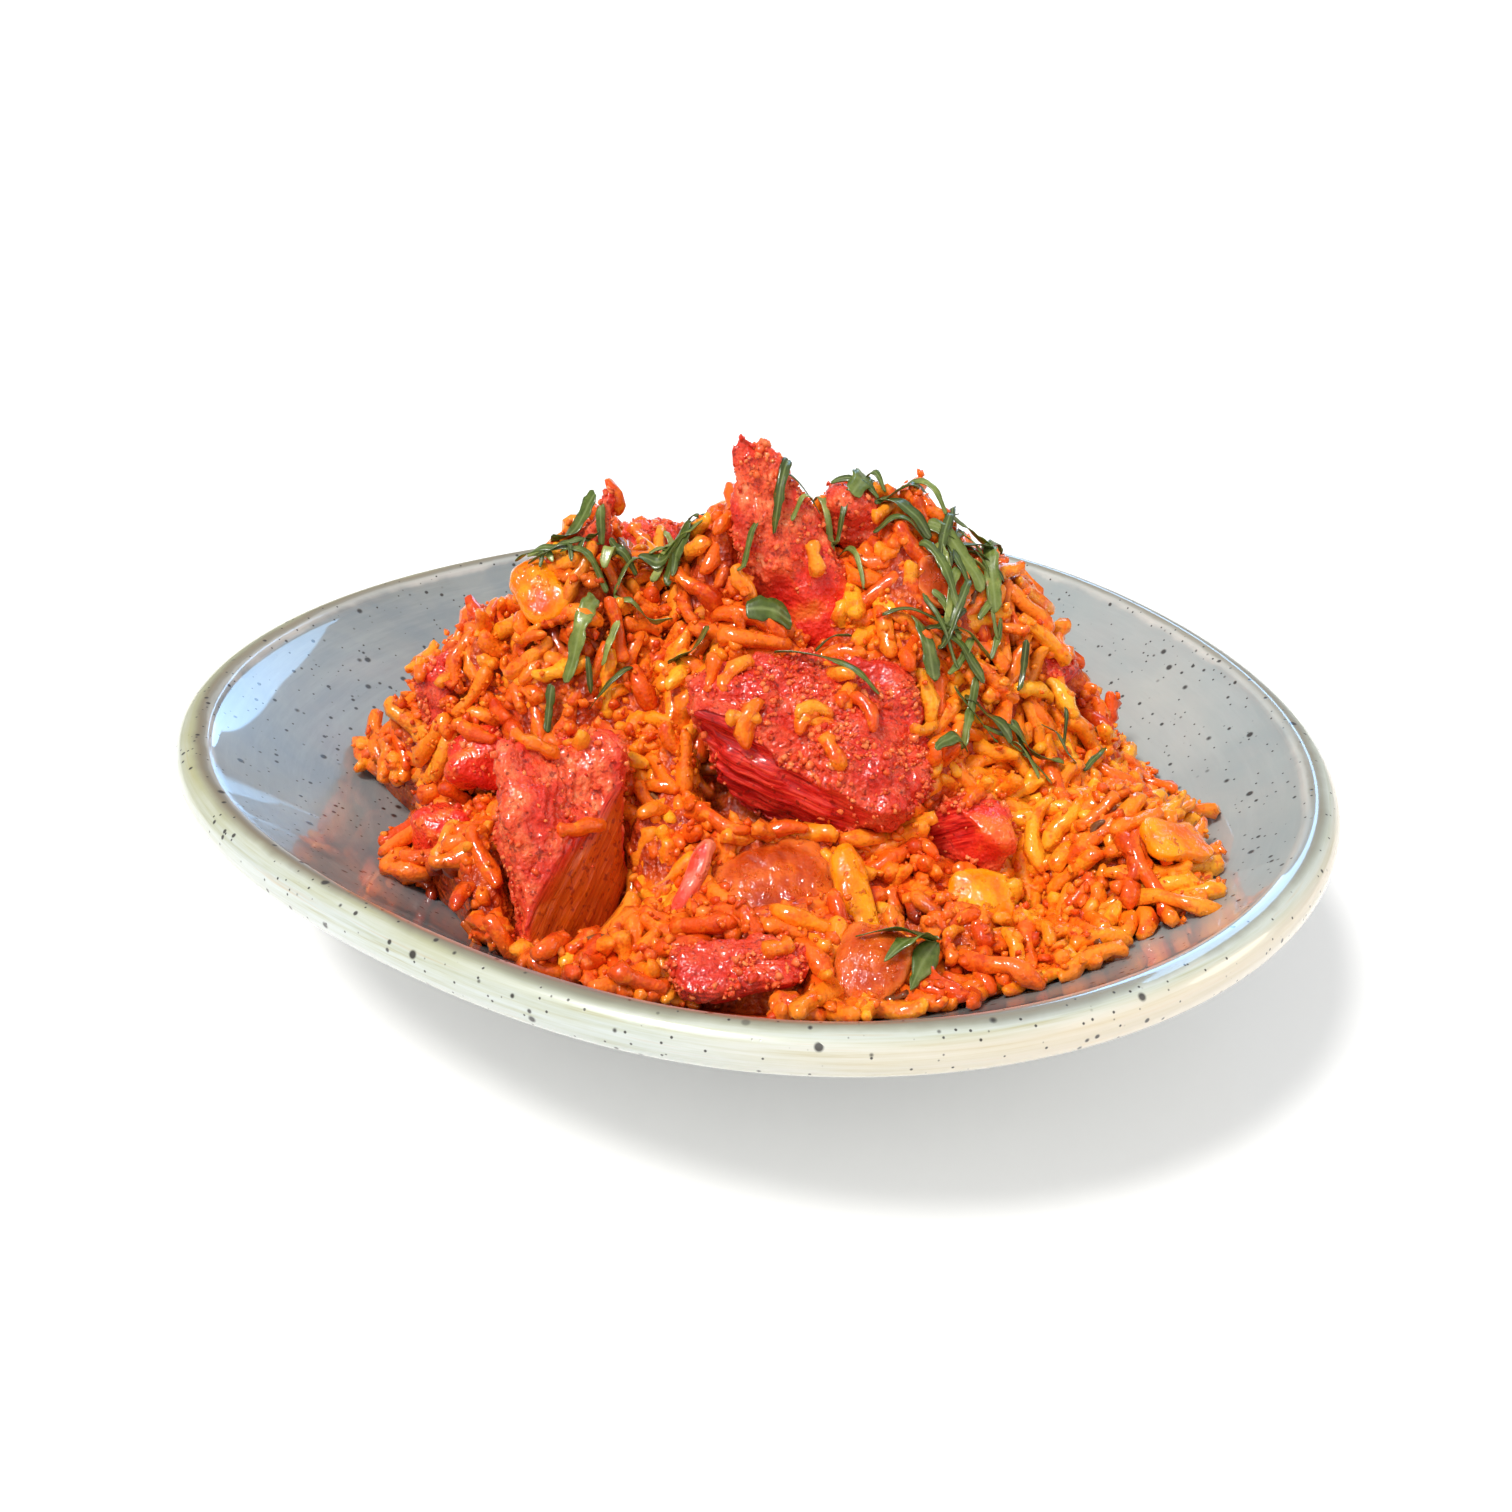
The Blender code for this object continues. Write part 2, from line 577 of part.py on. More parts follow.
def make_herb(tree, name, x, y, heading, length, width, bend, arch):
    """A thin strip laid over the food along a bent line."""
    stations = HERB_STATIONS
    share = np.linspace(0, 1, stations)
    line = np.stack([share * length, bend * share ** 2], 1)
    turn = math.radians(heading)
    turned = line @ np.array([[math.cos(turn), math.sin(turn)], [-math.sin(turn), math.cos(turn)]])
    line = turned + np.array([x, y]) - CENTRE[:2]
    step = np.gradient(line, axis=0)
    across = np.stack([-step[:, 1], step[:, 0]], 1) / np.linalg.norm(step, axis=1)[:, None]
    half_width = width / 2 * (0.35 + 0.65 * np.sin(math.pi * (0.12 + 0.76 * share)))
    heights = []
    for place, side in zip(line, across):
        reach = [place + side * (width / 2 + 0.4) * offset for offset in (-1, -0.5, 0, 0.5, 1)]
        found = [surface_height(tree, *point) for point in reach]
        heights.append(max(height for height in found if height is not None))
    heights = np.array(heights)
    padded = np.pad(heights, 1, mode="edge")
    bridged = np.maximum(heights, (padded[:-2] + padded[2:]) / 2)
    height = bridged + 2 * GAP + arch * np.sin(math.pi * share)
    points = []
    for index in range(stations):
        left = line[index] - across[index] * half_width[index]
        right = line[index] + across[index] * half_width[index]
        low, high = height[index], height[index] + HERB_THICKNESS
        points += [(*left, low), (*right, low), (*right, high), (*left, high)]
    faces = [(3, 2, 1, 0), tuple(4 * (stations - 1) + corner for corner in range(4))]
    for index in range(stations - 1):
        for corner in range(4):
            after = (corner + 1) % 4
            low, high = 4 * index, 4 * (index + 1)
            faces.append((low + corner, low + after, high + after, high + corner))
    made = add_object(name, "herb", points, faces)
    face_outwards(made)
    return made


def lift_clear(herb, others):
    """Raise a shred until it touches nothing."""
    tree = world_tree(others)
    for _ in range(20):
        if not world_tree([herb]).overlap(tree):
            break
        for vertex in herb.data.vertices:
            vertex.co.z += 0.3 * MM
    for vertex in herb.data.vertices:
        vertex.co.z += 0.1 * MM


def make_herbs(food):
    laid = list(food)
    for row in HERBS:
        herb = make_herb(world_tree(laid), *row)
        lift_clear(herb, laid)
        laid.append(herb)


# ---------------------------------------------------------------- assembly

def main():
    clear_scene()
    rng = np.random.default_rng(7)
    make_bowl()
    pieces = make_chicken() + make_vegetables()
    bpy.context.view_layer.update()
    rice = make_rice(make_cutters(pieces), rng)
    make_herbs([rice] + pieces)


main()
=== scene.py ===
import math

import bpy
import numpy as np
from mathutils import Matrix, Vector
from mathutils.bvhtree import BVHTree


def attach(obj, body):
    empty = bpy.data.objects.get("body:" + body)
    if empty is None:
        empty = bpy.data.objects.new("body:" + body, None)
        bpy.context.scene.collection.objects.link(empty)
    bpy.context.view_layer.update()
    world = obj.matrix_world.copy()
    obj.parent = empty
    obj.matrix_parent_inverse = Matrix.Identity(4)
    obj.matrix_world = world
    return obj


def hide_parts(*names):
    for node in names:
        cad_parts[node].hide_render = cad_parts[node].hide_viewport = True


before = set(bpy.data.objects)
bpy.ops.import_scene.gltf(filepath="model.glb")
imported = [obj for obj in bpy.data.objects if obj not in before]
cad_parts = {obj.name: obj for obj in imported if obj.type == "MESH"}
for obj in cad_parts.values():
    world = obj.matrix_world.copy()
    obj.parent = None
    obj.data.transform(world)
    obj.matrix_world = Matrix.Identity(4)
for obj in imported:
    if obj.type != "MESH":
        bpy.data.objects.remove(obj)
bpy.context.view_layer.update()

# ------------------------------------------------------------
# Stoneware bowl. A wide coupe bowl with a softly three-cornered plan, pressed and fired, dipped
# in a grey-blue reactive glaze that breaks to pale green and cream on the thick rolled rim. It
# stands on a turned foot ring. All sizes are millimetres until a mesh is made.
# ------------------------------------------------------------
MM = 0.001
RIM_RADIUS = 104.0
RIM_WAVES = ((2, 0.0397, -0.0396), (3, -0.0333, 0.0031), (4, 0.0098, -0.0097))  # waves round, cosine, sine
ROUND_BELOW = 45.0              # the plan is a circle within this radius
RIM_INNER_RADIUS = 98.0
BOWL_HEIGHT = 47.0
INNER_FLOOR = 10.0
INNER_CURVE = 2.3               # the power by which the inside steepens
RIM_DROP = 0.6                  # from the rim's top to where the inside meets it
WALL = 6.0
FOOT_OUTER_RADIUS = 43.0
FOOT_INNER_RADIUS = 38.0
BASE_UNDERSIDE = 4.0
PLAN_SIDES = 42                 # points round the plan that its middle is found from
BOWL_TURNS, INSIDE_RINGS = 288, 84
RIM_RINGS, WALL_RINGS = 4, 32   # rings past the inside that waver with it, and that show from the side
JUST_INSIDE = 0.9998            # scale that keeps the glaze within the solid
WAVER = 0.12                    # how far the wall is from true


def ease(share):
    """A step from 0 to 1 that starts and ends level: s * s * (3 - 2 * s)."""
    return share * share * (3 - 2 * share)


def unit(ways):
    """Each row made one long."""
    return ways / np.maximum(np.linalg.norm(ways, axis=-1, keepdims=True), 1e-9)


def columns(*parts):
    """Arrays of one shape side by side, a row for each place; a lone number fills its column."""
    return np.stack(np.broadcast_arrays(*parts), -1).reshape(-1, len(parts))


def circle(count):
    """Angles evenly spaced round a circle."""
    return np.arange(count) * 2 * math.pi / count


def wave_share(mean_radius):
    """0 inside the foot, 1 at the rim, with a smooth step between."""
    return ease(np.clip((mean_radius - ROUND_BELOW) / (RIM_INNER_RADIUS - ROUND_BELOW), 0, 1))


def plan_stretch(mean_radius, angle):
    """How far out the plan lies for its mean radius: 1 plus a sum of cosines and sines of the angle."""
    waves = sum(a * np.cos(n * angle) + b * np.sin(n * angle) for n, a, b in RIM_WAVES)
    return 1 + wave_share(mean_radius) * waves


def plan_point(mean_radius, angle):
    """The place in plan of a mean radius and an angle."""
    radius = mean_radius * plan_stretch(mean_radius, angle)
    return radius * np.cos(angle), radius * np.sin(angle)


def mean_radius_at(x, y):
    """The plan radius turned back into a mean radius by repeated division."""
    radius, angle = np.hypot(x, y), np.arctan2(y, x)
    mean = radius
    for _ in range(6):
        mean = radius / plan_stretch(mean, angle)
    return mean


def inside_height(mean_radius):
    """Height of the bowl's inside: a power curve from the middle to the rim."""
    rise = BOWL_HEIGHT - RIM_DROP - INNER_FLOOR
    return INNER_FLOOR + rise * (np.abs(mean_radius) / RIM_INNER_RADIUS) ** INNER_CURVE


plan_x, plan_y = plan_point(RIM_RADIUS, circle(PLAN_SIDES))
CENTRE = np.array([(plan_x.min() + plan_x.max()) / 2, (plan_y.min() + plan_y.max()) / 2, 0.0])


def lattice_value(cell, seed):
    """A repeatable random number from 0 to 1 for each whole-numbered cell."""
    mixed = np.sin(cell @ np.array([127.1, 311.7, 74.7]) + seed * 19.19) * 43758.5453
    return mixed - np.floor(mixed)


def noise(points, size, seed):
    """Smooth noise from -1 to 1: random values on a cubic lattice, blended by a smooth step."""
    place = np.asarray(points) / size + 1000.0
    cell = np.floor(place)
    share = ease(place - cell)
    total = np.zeros(len(place))
    for corner in np.ndindex(2, 2, 2):
        weight = np.prod(np.where(np.array(corner), share, 1 - share), axis=1)
        total += weight * lattice_value(cell + np.array(corner), seed)
    return 2 * total - 1


def make_mesh(name, points, *faces, **attributes):
    """A mesh from arrays: points in millimetres about the bowl's middle, and arrays of faces of one
    width each. Attributes are numbers, or threes of them, kept on each point for a material."""
    mesh = bpy.data.meshes.new(name)
    mesh.vertices.add(len(points))
    mesh.vertices.foreach_set("co", ((points - CENTRE) * MM).astype(np.float32).ravel())
    corners = np.concatenate([part.ravel() for part in faces]).astype(np.int32)
    sizes = np.concatenate([np.full(len(part), part.shape[1]) for part in faces])
    mesh.loops.add(len(corners))
    mesh.loops.foreach_set("vertex_index", corners)
    mesh.polygons.add(len(sizes))
    mesh.polygons.foreach_set("loop_start", (np.cumsum(sizes) - sizes).astype(np.int32))
    mesh.update(calc_edges=True)
    mesh.shade_smooth()
    for key, values in attributes.items():
        values = np.asarray(values, np.float32)
        kind, field = ("FLOAT", "value") if values.ndim == 1 else ("FLOAT_VECTOR", "vector")
        mesh.attributes.new(key, kind, "POINT").data.foreach_set(field, values.ravel())
    return mesh


def tube_mesh(name, points, rings, sides, inside_out=False, **attributes):
    """Closed tubes, all alike, in one mesh: the points of each are its rings and then its two tips.
    Four-cornered faces join neighbouring rings, and fans of three-cornered ones close the ends."""
    per = rings * sides + 2
    ring, side = np.meshgrid(np.arange(rings - 1) * sides, np.arange(sides), indexing="ij")
    after = (side + 1) % sides
    quads = columns(ring + side, ring + after, ring + sides + after, ring + sides + side)
    side, after, end = side[0], after[0], (rings - 1) * sides
    fans = np.concatenate([columns(per - 2, after, side), columns(per - 1, end + side, end + after)])
    start = (np.arange(len(points) // per) * per)[:, None, None]
    faces = [(part + start).reshape(-1, part.shape[1]) for part in (quads, fans)]
    if inside_out:
        faces = [part[:, ::-1] for part in faces]
    return make_mesh(name, points, *faces, **attributes)


def put(name, data):
    """A new object in the scene."""
    made = bpy.data.objects.new(name, data)
    bpy.context.scene.collection.objects.link(made)
    return made


def add_piece(name, mesh, material, slot, *nodes):
    """Put a mesh in the scene as a piece that rides on the one body and stands for CAD nodes."""
    piece = put(name, mesh)
    mesh.materials.append(material)
    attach(piece, "root")
    if nodes:
        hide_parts(*nodes)
    return piece


def soft_line(points, steps):
    """A Catmull-Rom curve through the points: a cubic for each gap, set by its four neighbours."""
    points = np.asarray(points, float)
    padded = np.concatenate([[2 * points[0] - points[1]], points, [2 * points[-1] - points[-2]]])
    share = np.linspace(0, 1, steps, endpoint=False)[:, None]
    pieces = []
    for a, b, c, d in zip(padded, padded[1:], padded[2:], padded[3:]):
        pieces.append(0.5 * (2 * b + (c - a) * share + (2 * a - 5 * b + 4 * c - d) * share ** 2
                             + (3 * b - a - 3 * c + d) * share ** 3))
    return np.concatenate(pieces + [points[-1:]])


def wall_underside(mean_radius):
    """The point one wall thickness under the inside, square to its slope."""
    slope = (inside_height(mean_radius + 0.01) - inside_height(mean_radius)) / 0.01
    tilt = math.atan(slope)
    return mean_radius + WALL * math.sin(tilt), inside_height(mean_radius) - WALL * math.cos(tilt)


lip = RIM_INNER_RADIUS - 1.2    # where the inside turns into the rolled rim
inside_radii = np.linspace(1.0, lip, INSIDE_RINGS)
rim_points = [(lip, inside_height(lip)), (RIM_INNER_RADIUS - 0.2, BOWL_HEIGHT - RIM_DROP)]
rim_points += [(RIM_RADIUS - inwards, BOWL_HEIGHT - down) for inwards, down in
               ((4.4, 0.05), (2.2, 0.75), (0.8, 2.3), (0.45, 4.3), (1.1, 6.5), (3.4, 8.2))]
wall_points = [wall_underside(radius) for radius in (92.0, 84.0, 74.0, 62.0, 50.0)]
ring_top = wall_underside(FOOT_OUTER_RADIUS - 1.0)[1]
foot_points = [(FOOT_OUTER_RADIUS + 1.2, ring_top + 0.4), (FOOT_OUTER_RADIUS + 0.2, ring_top - 1.0),
               (FOOT_OUTER_RADIUS, 1.3), (FOOT_OUTER_RADIUS - 0.9, 0.2),
               (FOOT_INNER_RADIUS + 0.9, 0.2), (FOOT_INNER_RADIUS, 1.3),
               (FOOT_INNER_RADIUS - 0.6, BASE_UNDERSIDE - 0.3), (FOOT_INNER_RADIUS - 2.0, BASE_UNDERSIDE),
               (2.0, BASE_UNDERSIDE)]
profile = np.concatenate([columns(inside_radii, inside_height(inside_radii)), soft_line(rim_points, 5)[1:],
                          soft_line(wall_points, 6), soft_line(foot_points, 4)])

row, turn = (grid.ravel() for grid in np.meshgrid(np.arange(len(profile)), circle(BOWL_TURNS), indexing="ij"))
mean, height = profile[row].T
bowl_points = columns(*plan_point(mean, turn), height)
bowl_points[:, 2] += WAVER * noise(bowl_points, 26.0, 3) * (row < INSIDE_RINGS + RIM_RINGS)
bowl_points[:, :2] *= JUST_INSIDE
bowl_points = np.concatenate([bowl_points, [[0, 0, INNER_FLOOR], [0, 0, BASE_UNDERSIDE]]])
stroke = np.concatenate([columns(np.cos(turn), np.sin(turn), row / 40.0), [[0, 0, 0], [0, 0, 3]]])
bowl_mesh = tube_mesh("bowl_glazed", bowl_points, len(profile), BOWL_TURNS, True,
                      out=np.append(mean, [0, 0]) / RIM_RADIUS, stroke=stroke,
                      under=np.append(row > INSIDE_RINGS + WALL_RINGS, [False, True]))


class Nodes:
    """Short calls for building a material: each adds a node and returns its first output."""

    def __init__(self, name):
        self.material = bpy.data.materials.new(name)
        self.material.use_nodes = True
        self.tree = self.material.node_tree
        self.shader = self.tree.nodes["Principled BSDF"]
        self.place = self.add("ShaderNodeTexCoord").outputs["Object"]

    def join(self, source, socket):
        """Link an output to a socket, or set a plain value; three numbers make an opaque colour."""
        if hasattr(source, "is_output"):
            self.tree.links.new(source, socket)
        else:
            opaque = isinstance(source, tuple) and socket.type == "RGBA" and len(source) == 3
            socket.default_value = (*source, 1) if opaque else source

    def add(self, kind, **inputs):
        """A node with its sockets set or linked; an underscore in a name stands for a space."""
        node = self.tree.nodes.new(kind)
        for key, value in inputs.items():
            self.join(value, node.inputs[key.replace("_", " ")])
        return node

    def attribute(self, name, output="Fac"):
        node = self.add("ShaderNodeAttribute")
        node.attribute_name = name
        return node.outputs[output]

    def mottle(self, scale, detail=3.0, roughness=0.55, distortion=0.0, place=None):
        """Noise over the object's own place or another; three scales stretch it."""
        place = place or self.place
        if isinstance(scale, tuple):
            place, scale = self.add("ShaderNodeMapping", Vector=place, Scale=scale).outputs["Vector"], 1.0
        return self.add("ShaderNodeTexNoise", Vector=place, Scale=scale, Detail=detail,
                        Roughness=roughness, Distortion=distortion).outputs["Fac"]

    def cells(self, scale, output="Distance"):
        return self.add("ShaderNodeTexVoronoi", Vector=self.place, Scale=scale).outputs[output]

    def ramp(self, fac, *stops):
        """Colour or grey by position; each stop is (place, colour or grey)."""
        node = self.add("ShaderNodeValToRGB", Fac=fac)
        while len(node.color_ramp.elements) < len(stops):
            node.color_ramp.elements.new(0.5)
        for element, (place, colour) in zip(node.color_ramp.elements, stops):
            element.position = place
            element.color = (*colour, 1) if isinstance(colour, tuple) else (colour,) * 3 + (1,)
        return node.outputs["Color"]

    def mix(self, fac, first, second):
        """First where fac is 0, second where it is 1."""
        node = self.add("ShaderNodeMix")
        node.data_type = "RGBA"
        for value, key in ((fac, "Factor"), (first, "A"), (second, "B")):
            self.join(value, node.inputs[key])
        return node.outputs["Result"]

    def over(self, colour, fac, stops, tone):
        """The colour with a tone laid over it, as much as the stops say at each value of fac."""
        return self.mix(self.ramp(fac, *stops), colour, tone)

    def sum(self, operation, first, second):
        node = self.add("ShaderNodeMath")
        node.operation = operation
        self.join(first, node.inputs[0])
        self.join(second, node.inputs[1])
        return node.outputs[0]

    def plus(self, first, second):
        return self.sum("ADD", first, second)

    def times(self, first, second):
        return self.sum("MULTIPLY", first, second)

    def bump(self, height, strength, distance, **normal):
        return self.add("ShaderNodeBump", Height=height, Strength=strength, Distance=distance,
                        **normal).outputs["Normal"]

    def finish(self, **inputs):
        """Set or link the shader's own sockets; an underscore in a name stands for a space."""
        for key, value in inputs.items():
            self.join(value, self.shader.inputs[key.replace("_", " ")])
        return self.material


def glaze():
    """Grey-blue reactive glaze: brushed streaks, soft clouds, brown specks, and a pale breaking rim;
    with painted light toward the right, painted shade at the rim's inner edge and a painted highlight line along
    it.
    """
    n = Nodes("bowl_glaze")
    stroke_place = n.attribute("stroke", "Vector")
    clouds = n.mottle(24.0, 5.0, 0.62, 0.6)
    tints = n.mottle((15.0, 15.0, 30.0), 4.0, 0.6)
    streaks = n.mottle((4.0, 4.0, 22.0), 5.0, 0.65, place=stroke_place)
    fine_streaks = n.mottle((14.0, 14.0, 70.0), 3.0, 0.6, place=stroke_place)
    rim_clouds = n.mottle((3.0, 3.0, 16.0), 5.0, 0.65, place=stroke_place)
    across = n.times(n.add("ShaderNodeSeparateXYZ", Vector=n.place).outputs["X"], 5.0)
    across = n.plus(n.plus(across, n.times(clouds, 0.25)), 0.5)      # 0 at the left, 1 at the right
    body = n.ramp(clouds, (0.32, (0.195, 0.255, 0.290)), (0.46, (0.245, 0.295, 0.310)),
                  (0.58, (0.300, 0.340, 0.335)), (0.72, (0.380, 0.405, 0.375)))
    for fac, stops, tone in (
            (tints, ((0.52, 0.0), (0.68, 0.40)), (0.36, 0.37, 0.27)),
            (tints, ((0.30, 0.35), (0.44, 0.0)), (0.37, 0.31, 0.31)),
            (streaks, ((0.46, 0.0), (0.66, 0.26)), (0.42, 0.47, 0.47)),
            (fine_streaks, ((0.54, 0.0), (0.70, 0.15)), (0.17, 0.20, 0.21)),
            # painted light: the body paler toward the right, where light falls from that side
            (across, ((0.62, 0.0), (1.0, 0.42)), (0.50, 0.565, 0.550)),
            (across, ((0.0, 0.30), (0.48, 0.0)), (0.24, 0.225, 0.215))):
        body = n.over(body, fac, stops, tone)
    out = n.attribute("out")                                         # 0 in the middle, 1 at the rim
    out_drift = n.plus(out, n.times(n.sum("SUBTRACT", clouds, 0.5), 0.035))
    rim_colour = n.ramp(rim_clouds, (0.32, (0.44, 0.44, 0.30)), (0.43, (0.53, 0.57, 0.49)),
                        (0.57, (0.60, 0.65, 0.63)), (0.70, (0.57, 0.53, 0.42)))
    colour = n.over(body, out_drift, ((0.962, 0.0), (0.974, 1.0)), rim_colour)
    # the glaze's brown line at the rim's inner edge, widened with painted shade over the inner slope under the
    # rim's top
    colour = n.over(colour, out_drift, ((0.932, 0.0), (0.946, 0.55), (0.955, 0.85), (0.973, 0.0)),
                    (0.225, 0.175, 0.095))
    # painted highlight: a thin pale line along the rim's inner edge, where the edge would catch the light
    painted_highlight_line = n.ramp(out_drift, (0.929, 0.0), (0.935, 0.70), (0.940, 0.70), (0.946, 0.0))
    painted_highlight_line = n.times(painted_highlight_line, n.ramp(clouds, (0.36, 0.3), (0.56, 1.0)))
    olive = n.times(n.ramp(out_drift, (0.955, 0.0), (0.968, 0.85), (0.984, 0.55), (0.996, 0.0)),
                    n.ramp(across, (0.25, 1.0), (0.70, 0.25)))
    olive = n.times(olive, n.ramp(tints, (0.36, 0.25), (0.56, 1.0)))
    # painted warm light: cream on the outer side of the rim toward the right, lit warm from that side
    painted_warm_light = n.times(n.ramp(out, (0.976, 0.0), (0.992, 1.0)), n.ramp(across, (0.55, 0.0), (0.85, 0.65)))
    for share, tone in ((painted_highlight_line, (0.72, 0.74, 0.70)), (olive, (0.43, 0.42, 0.20)),
                        (painted_warm_light, (0.80, 0.66, 0.48)), (n.attribute("under"), (0.56, 0.57, 0.54))):
        colour = n.mix(share, colour, tone)
    specks = 0.0
    for scale, size, share in ((170.0, 0.115, 0.50), (310.0, 0.13, 0.38), (620.0, 0.14, 0.48)):
        dot = n.ramp(n.cells(scale), (size * 0.75, 1.0), (size * 1.25, 0.0))
        chosen = n.ramp(n.cells(scale, "Color"), (share, 0.0), (share + 0.02, 1.0))
        specks = n.sum("MAXIMUM", specks, n.times(dot, chosen))
    colour = n.mix(n.times(specks, 0.94), colour, (0.022, 0.017, 0.015))
    ripple = n.bump(n.mottle(60.0, 2.0), 0.12, 0.0006)
    return n.finish(Base_Color=colour, Roughness=0.30, Normal=n.bump(specks, 0.3, -0.0002, Normal=ripple),
                    Specular_IOR_Level=0.3, Coat_Weight=0.9, Coat_Roughness=0.03, Coat_IOR=1.5,
                    Coat_Normal=n.bump(n.mottle(34.0, 1.0), 0.10, 0.0010))


add_piece("bowl_glazed", bowl_mesh, glaze(), "glazed_stoneware", "bowl")

# ------------------------------------------------------------
# Rice. Long-grain rice steamed with the sauce: the grains cling together in clumps, and each is
# coated unevenly, from plain saffron yellow to a red-brown masala crust. Under the grains that
# show lies a core of packed rice. The grains are let settle on it, pushed apart until none overlap.
# ------------------------------------------------------------
MOUNDS = (                  # x, y and height of each top, reach along x and y, fall over it, power
    (6, 6, 77, 80, 70, 52, 1.25),
    (-2, 4, 87, 22, 24, 30, 2.0),
    (26, 4, 85, 26, 26, 30, 2.0),
    (-32, 2, 82, 18, 24, 28, 2.2),
    (44, 6, 77, 15, 24, 26, 2.2),
    (-50, 2, 63, 14, 18, 18, 2.2),
    (-63, 5, 44, 16, 16, 14, 2.2),
    (66, -40, 46, 19, 20, 15, 2.4),
    (10, -66, 41, 52, 18, 12, 2.6),
    (-46, -44, 41, 20, 20, 14, 2.3),
    (16, 40, 61, 44, 26, 22, 2.2),
)
HEAP_BLEND = 3.0            # how softly the mounds run together
FOOT_LINE = ((0, 77), (11, 74), (45, 76), (135, 76), (160, 77), (173, 78), (181, 71), (187, 65), (206, 73),
             (216, 70), (229, 76), (240, 83), (249, 84), (256, 89), (290, 91), (302, 93), (316, 92),
             (325, 88), (336, 82), (349, 80), (360, 77))       # degrees, mean radius of the heap's foot
GRAIN_RADIUS, GRAIN_SIDES = 1.6, 6
GRAIN_LAYER = 6.2           # depth of settled grains over the core
PROUD = 1.2                 # the settled grains stand this far over the mounds
STEEPEST = 1.9              # the layer's depth straight down grows with the slope up to this
GRAIN_COUNT = 2450
BEADS = 5                   # spheres that stand for a grain while it settles
BEAD_PACKING = 0.80         # share of two beads' radii by which they stay apart
BEAD_REACH = 2.15           # beads further apart than this many grain radii can't touch
SETTLE_STEPS = 80
MOST_PULL, LEAST_PULL = 0.5, 0.05   # by which a bead is drawn in at each step
FACE_CLEAR = 2.5            # grains stay this far off the outer faces of the flat pieces
CRUMB_COUNT = 14500
# where the grains of one clump lie side by side: x, y and reach of the clump, and their way
COMBED = (64, -36, 18)
COMBED_WAY = (0.62, 0.50, 0.45)


def heap_height(x, y):
    """Height of the heap: the soft maximum of its mounds, each a fall that grows by a power."""
    heights = np.array([top - fall * np.hypot((x - mx) / rx, (y - my) / ry) ** power
                        for mx, my, top, rx, ry, fall, power in MOUNDS])
    highest = heights.max(axis=0)
    return highest + HEAP_BLEND * np.log(np.exp((heights - highest) / HEAP_BLEND).sum(axis=0))


GRID_STEP = 0.75
GRID_HALF = 108.0
grid_line = np.arange(-GRID_HALF, GRID_HALF + GRID_STEP / 2, GRID_STEP)
grid_x, grid_y = np.meshgrid(grid_line, grid_line, indexing="ij")
flat = columns(grid_x, grid_y, 0)
clumps = (3.4 * noise(flat, 15.0, 11) + 2.0 * noise(flat, 7.0, 12)).reshape(grid_x.shape)
bowl_field = inside_height(np.minimum(mean_radius_at(grid_x, grid_y), RIM_INNER_RADIUS))
outer_field = heap_height(grid_x, grid_y) + clumps
outer_slope = np.gradient(outer_field, GRID_STEP)
steepness = np.sqrt(1 + outer_slope[0] ** 2 + outer_slope[1] ** 2)
capped = np.minimum(steepness, STEEPEST)
core_field = outer_field - (GRAIN_LAYER - PROUD) * capped
floor_field = np.maximum(core_field, bowl_field + 0.15)
floor_slope = np.gradient(floor_field, GRID_STEP)
skin_field = np.maximum(outer_field + PROUD * capped, bowl_field + 2.4 * GRAIN_RADIUS)


def inside_foot(x, y, margin):
    """True where a point lies within the heap's foot, by its angle and mean radius."""
    degrees, reach = np.array(FOOT_LINE, float).T
    foot = np.interp(np.degrees(np.arctan2(y, x)) % 360, degrees, reach)
    ragged = 2.2 * noise(columns(x, y, 0), 7.0, 17).reshape(np.shape(x))
    return mean_radius_at(x, y) < foot + ragged - margin


def read(x, y, *fields):
    """The value of each field between its grid points, by straight lines along x and y."""
    u = np.clip((x + GRID_HALF) / GRID_STEP, 0, grid_x.shape[0] - 1.001)
    v = np.clip((y + GRID_HALF) / GRID_STEP, 0, grid_x.shape[1] - 1.001)
    i, j = u.astype(int), v.astype(int)
    a, b = u - i, v - j
    return [(field[i, j] * (1 - b) + field[i, j + 1] * b) * (1 - a)
            + (field[i + 1, j] * (1 - b) + field[i + 1, j + 1] * b) * a for field in fields]


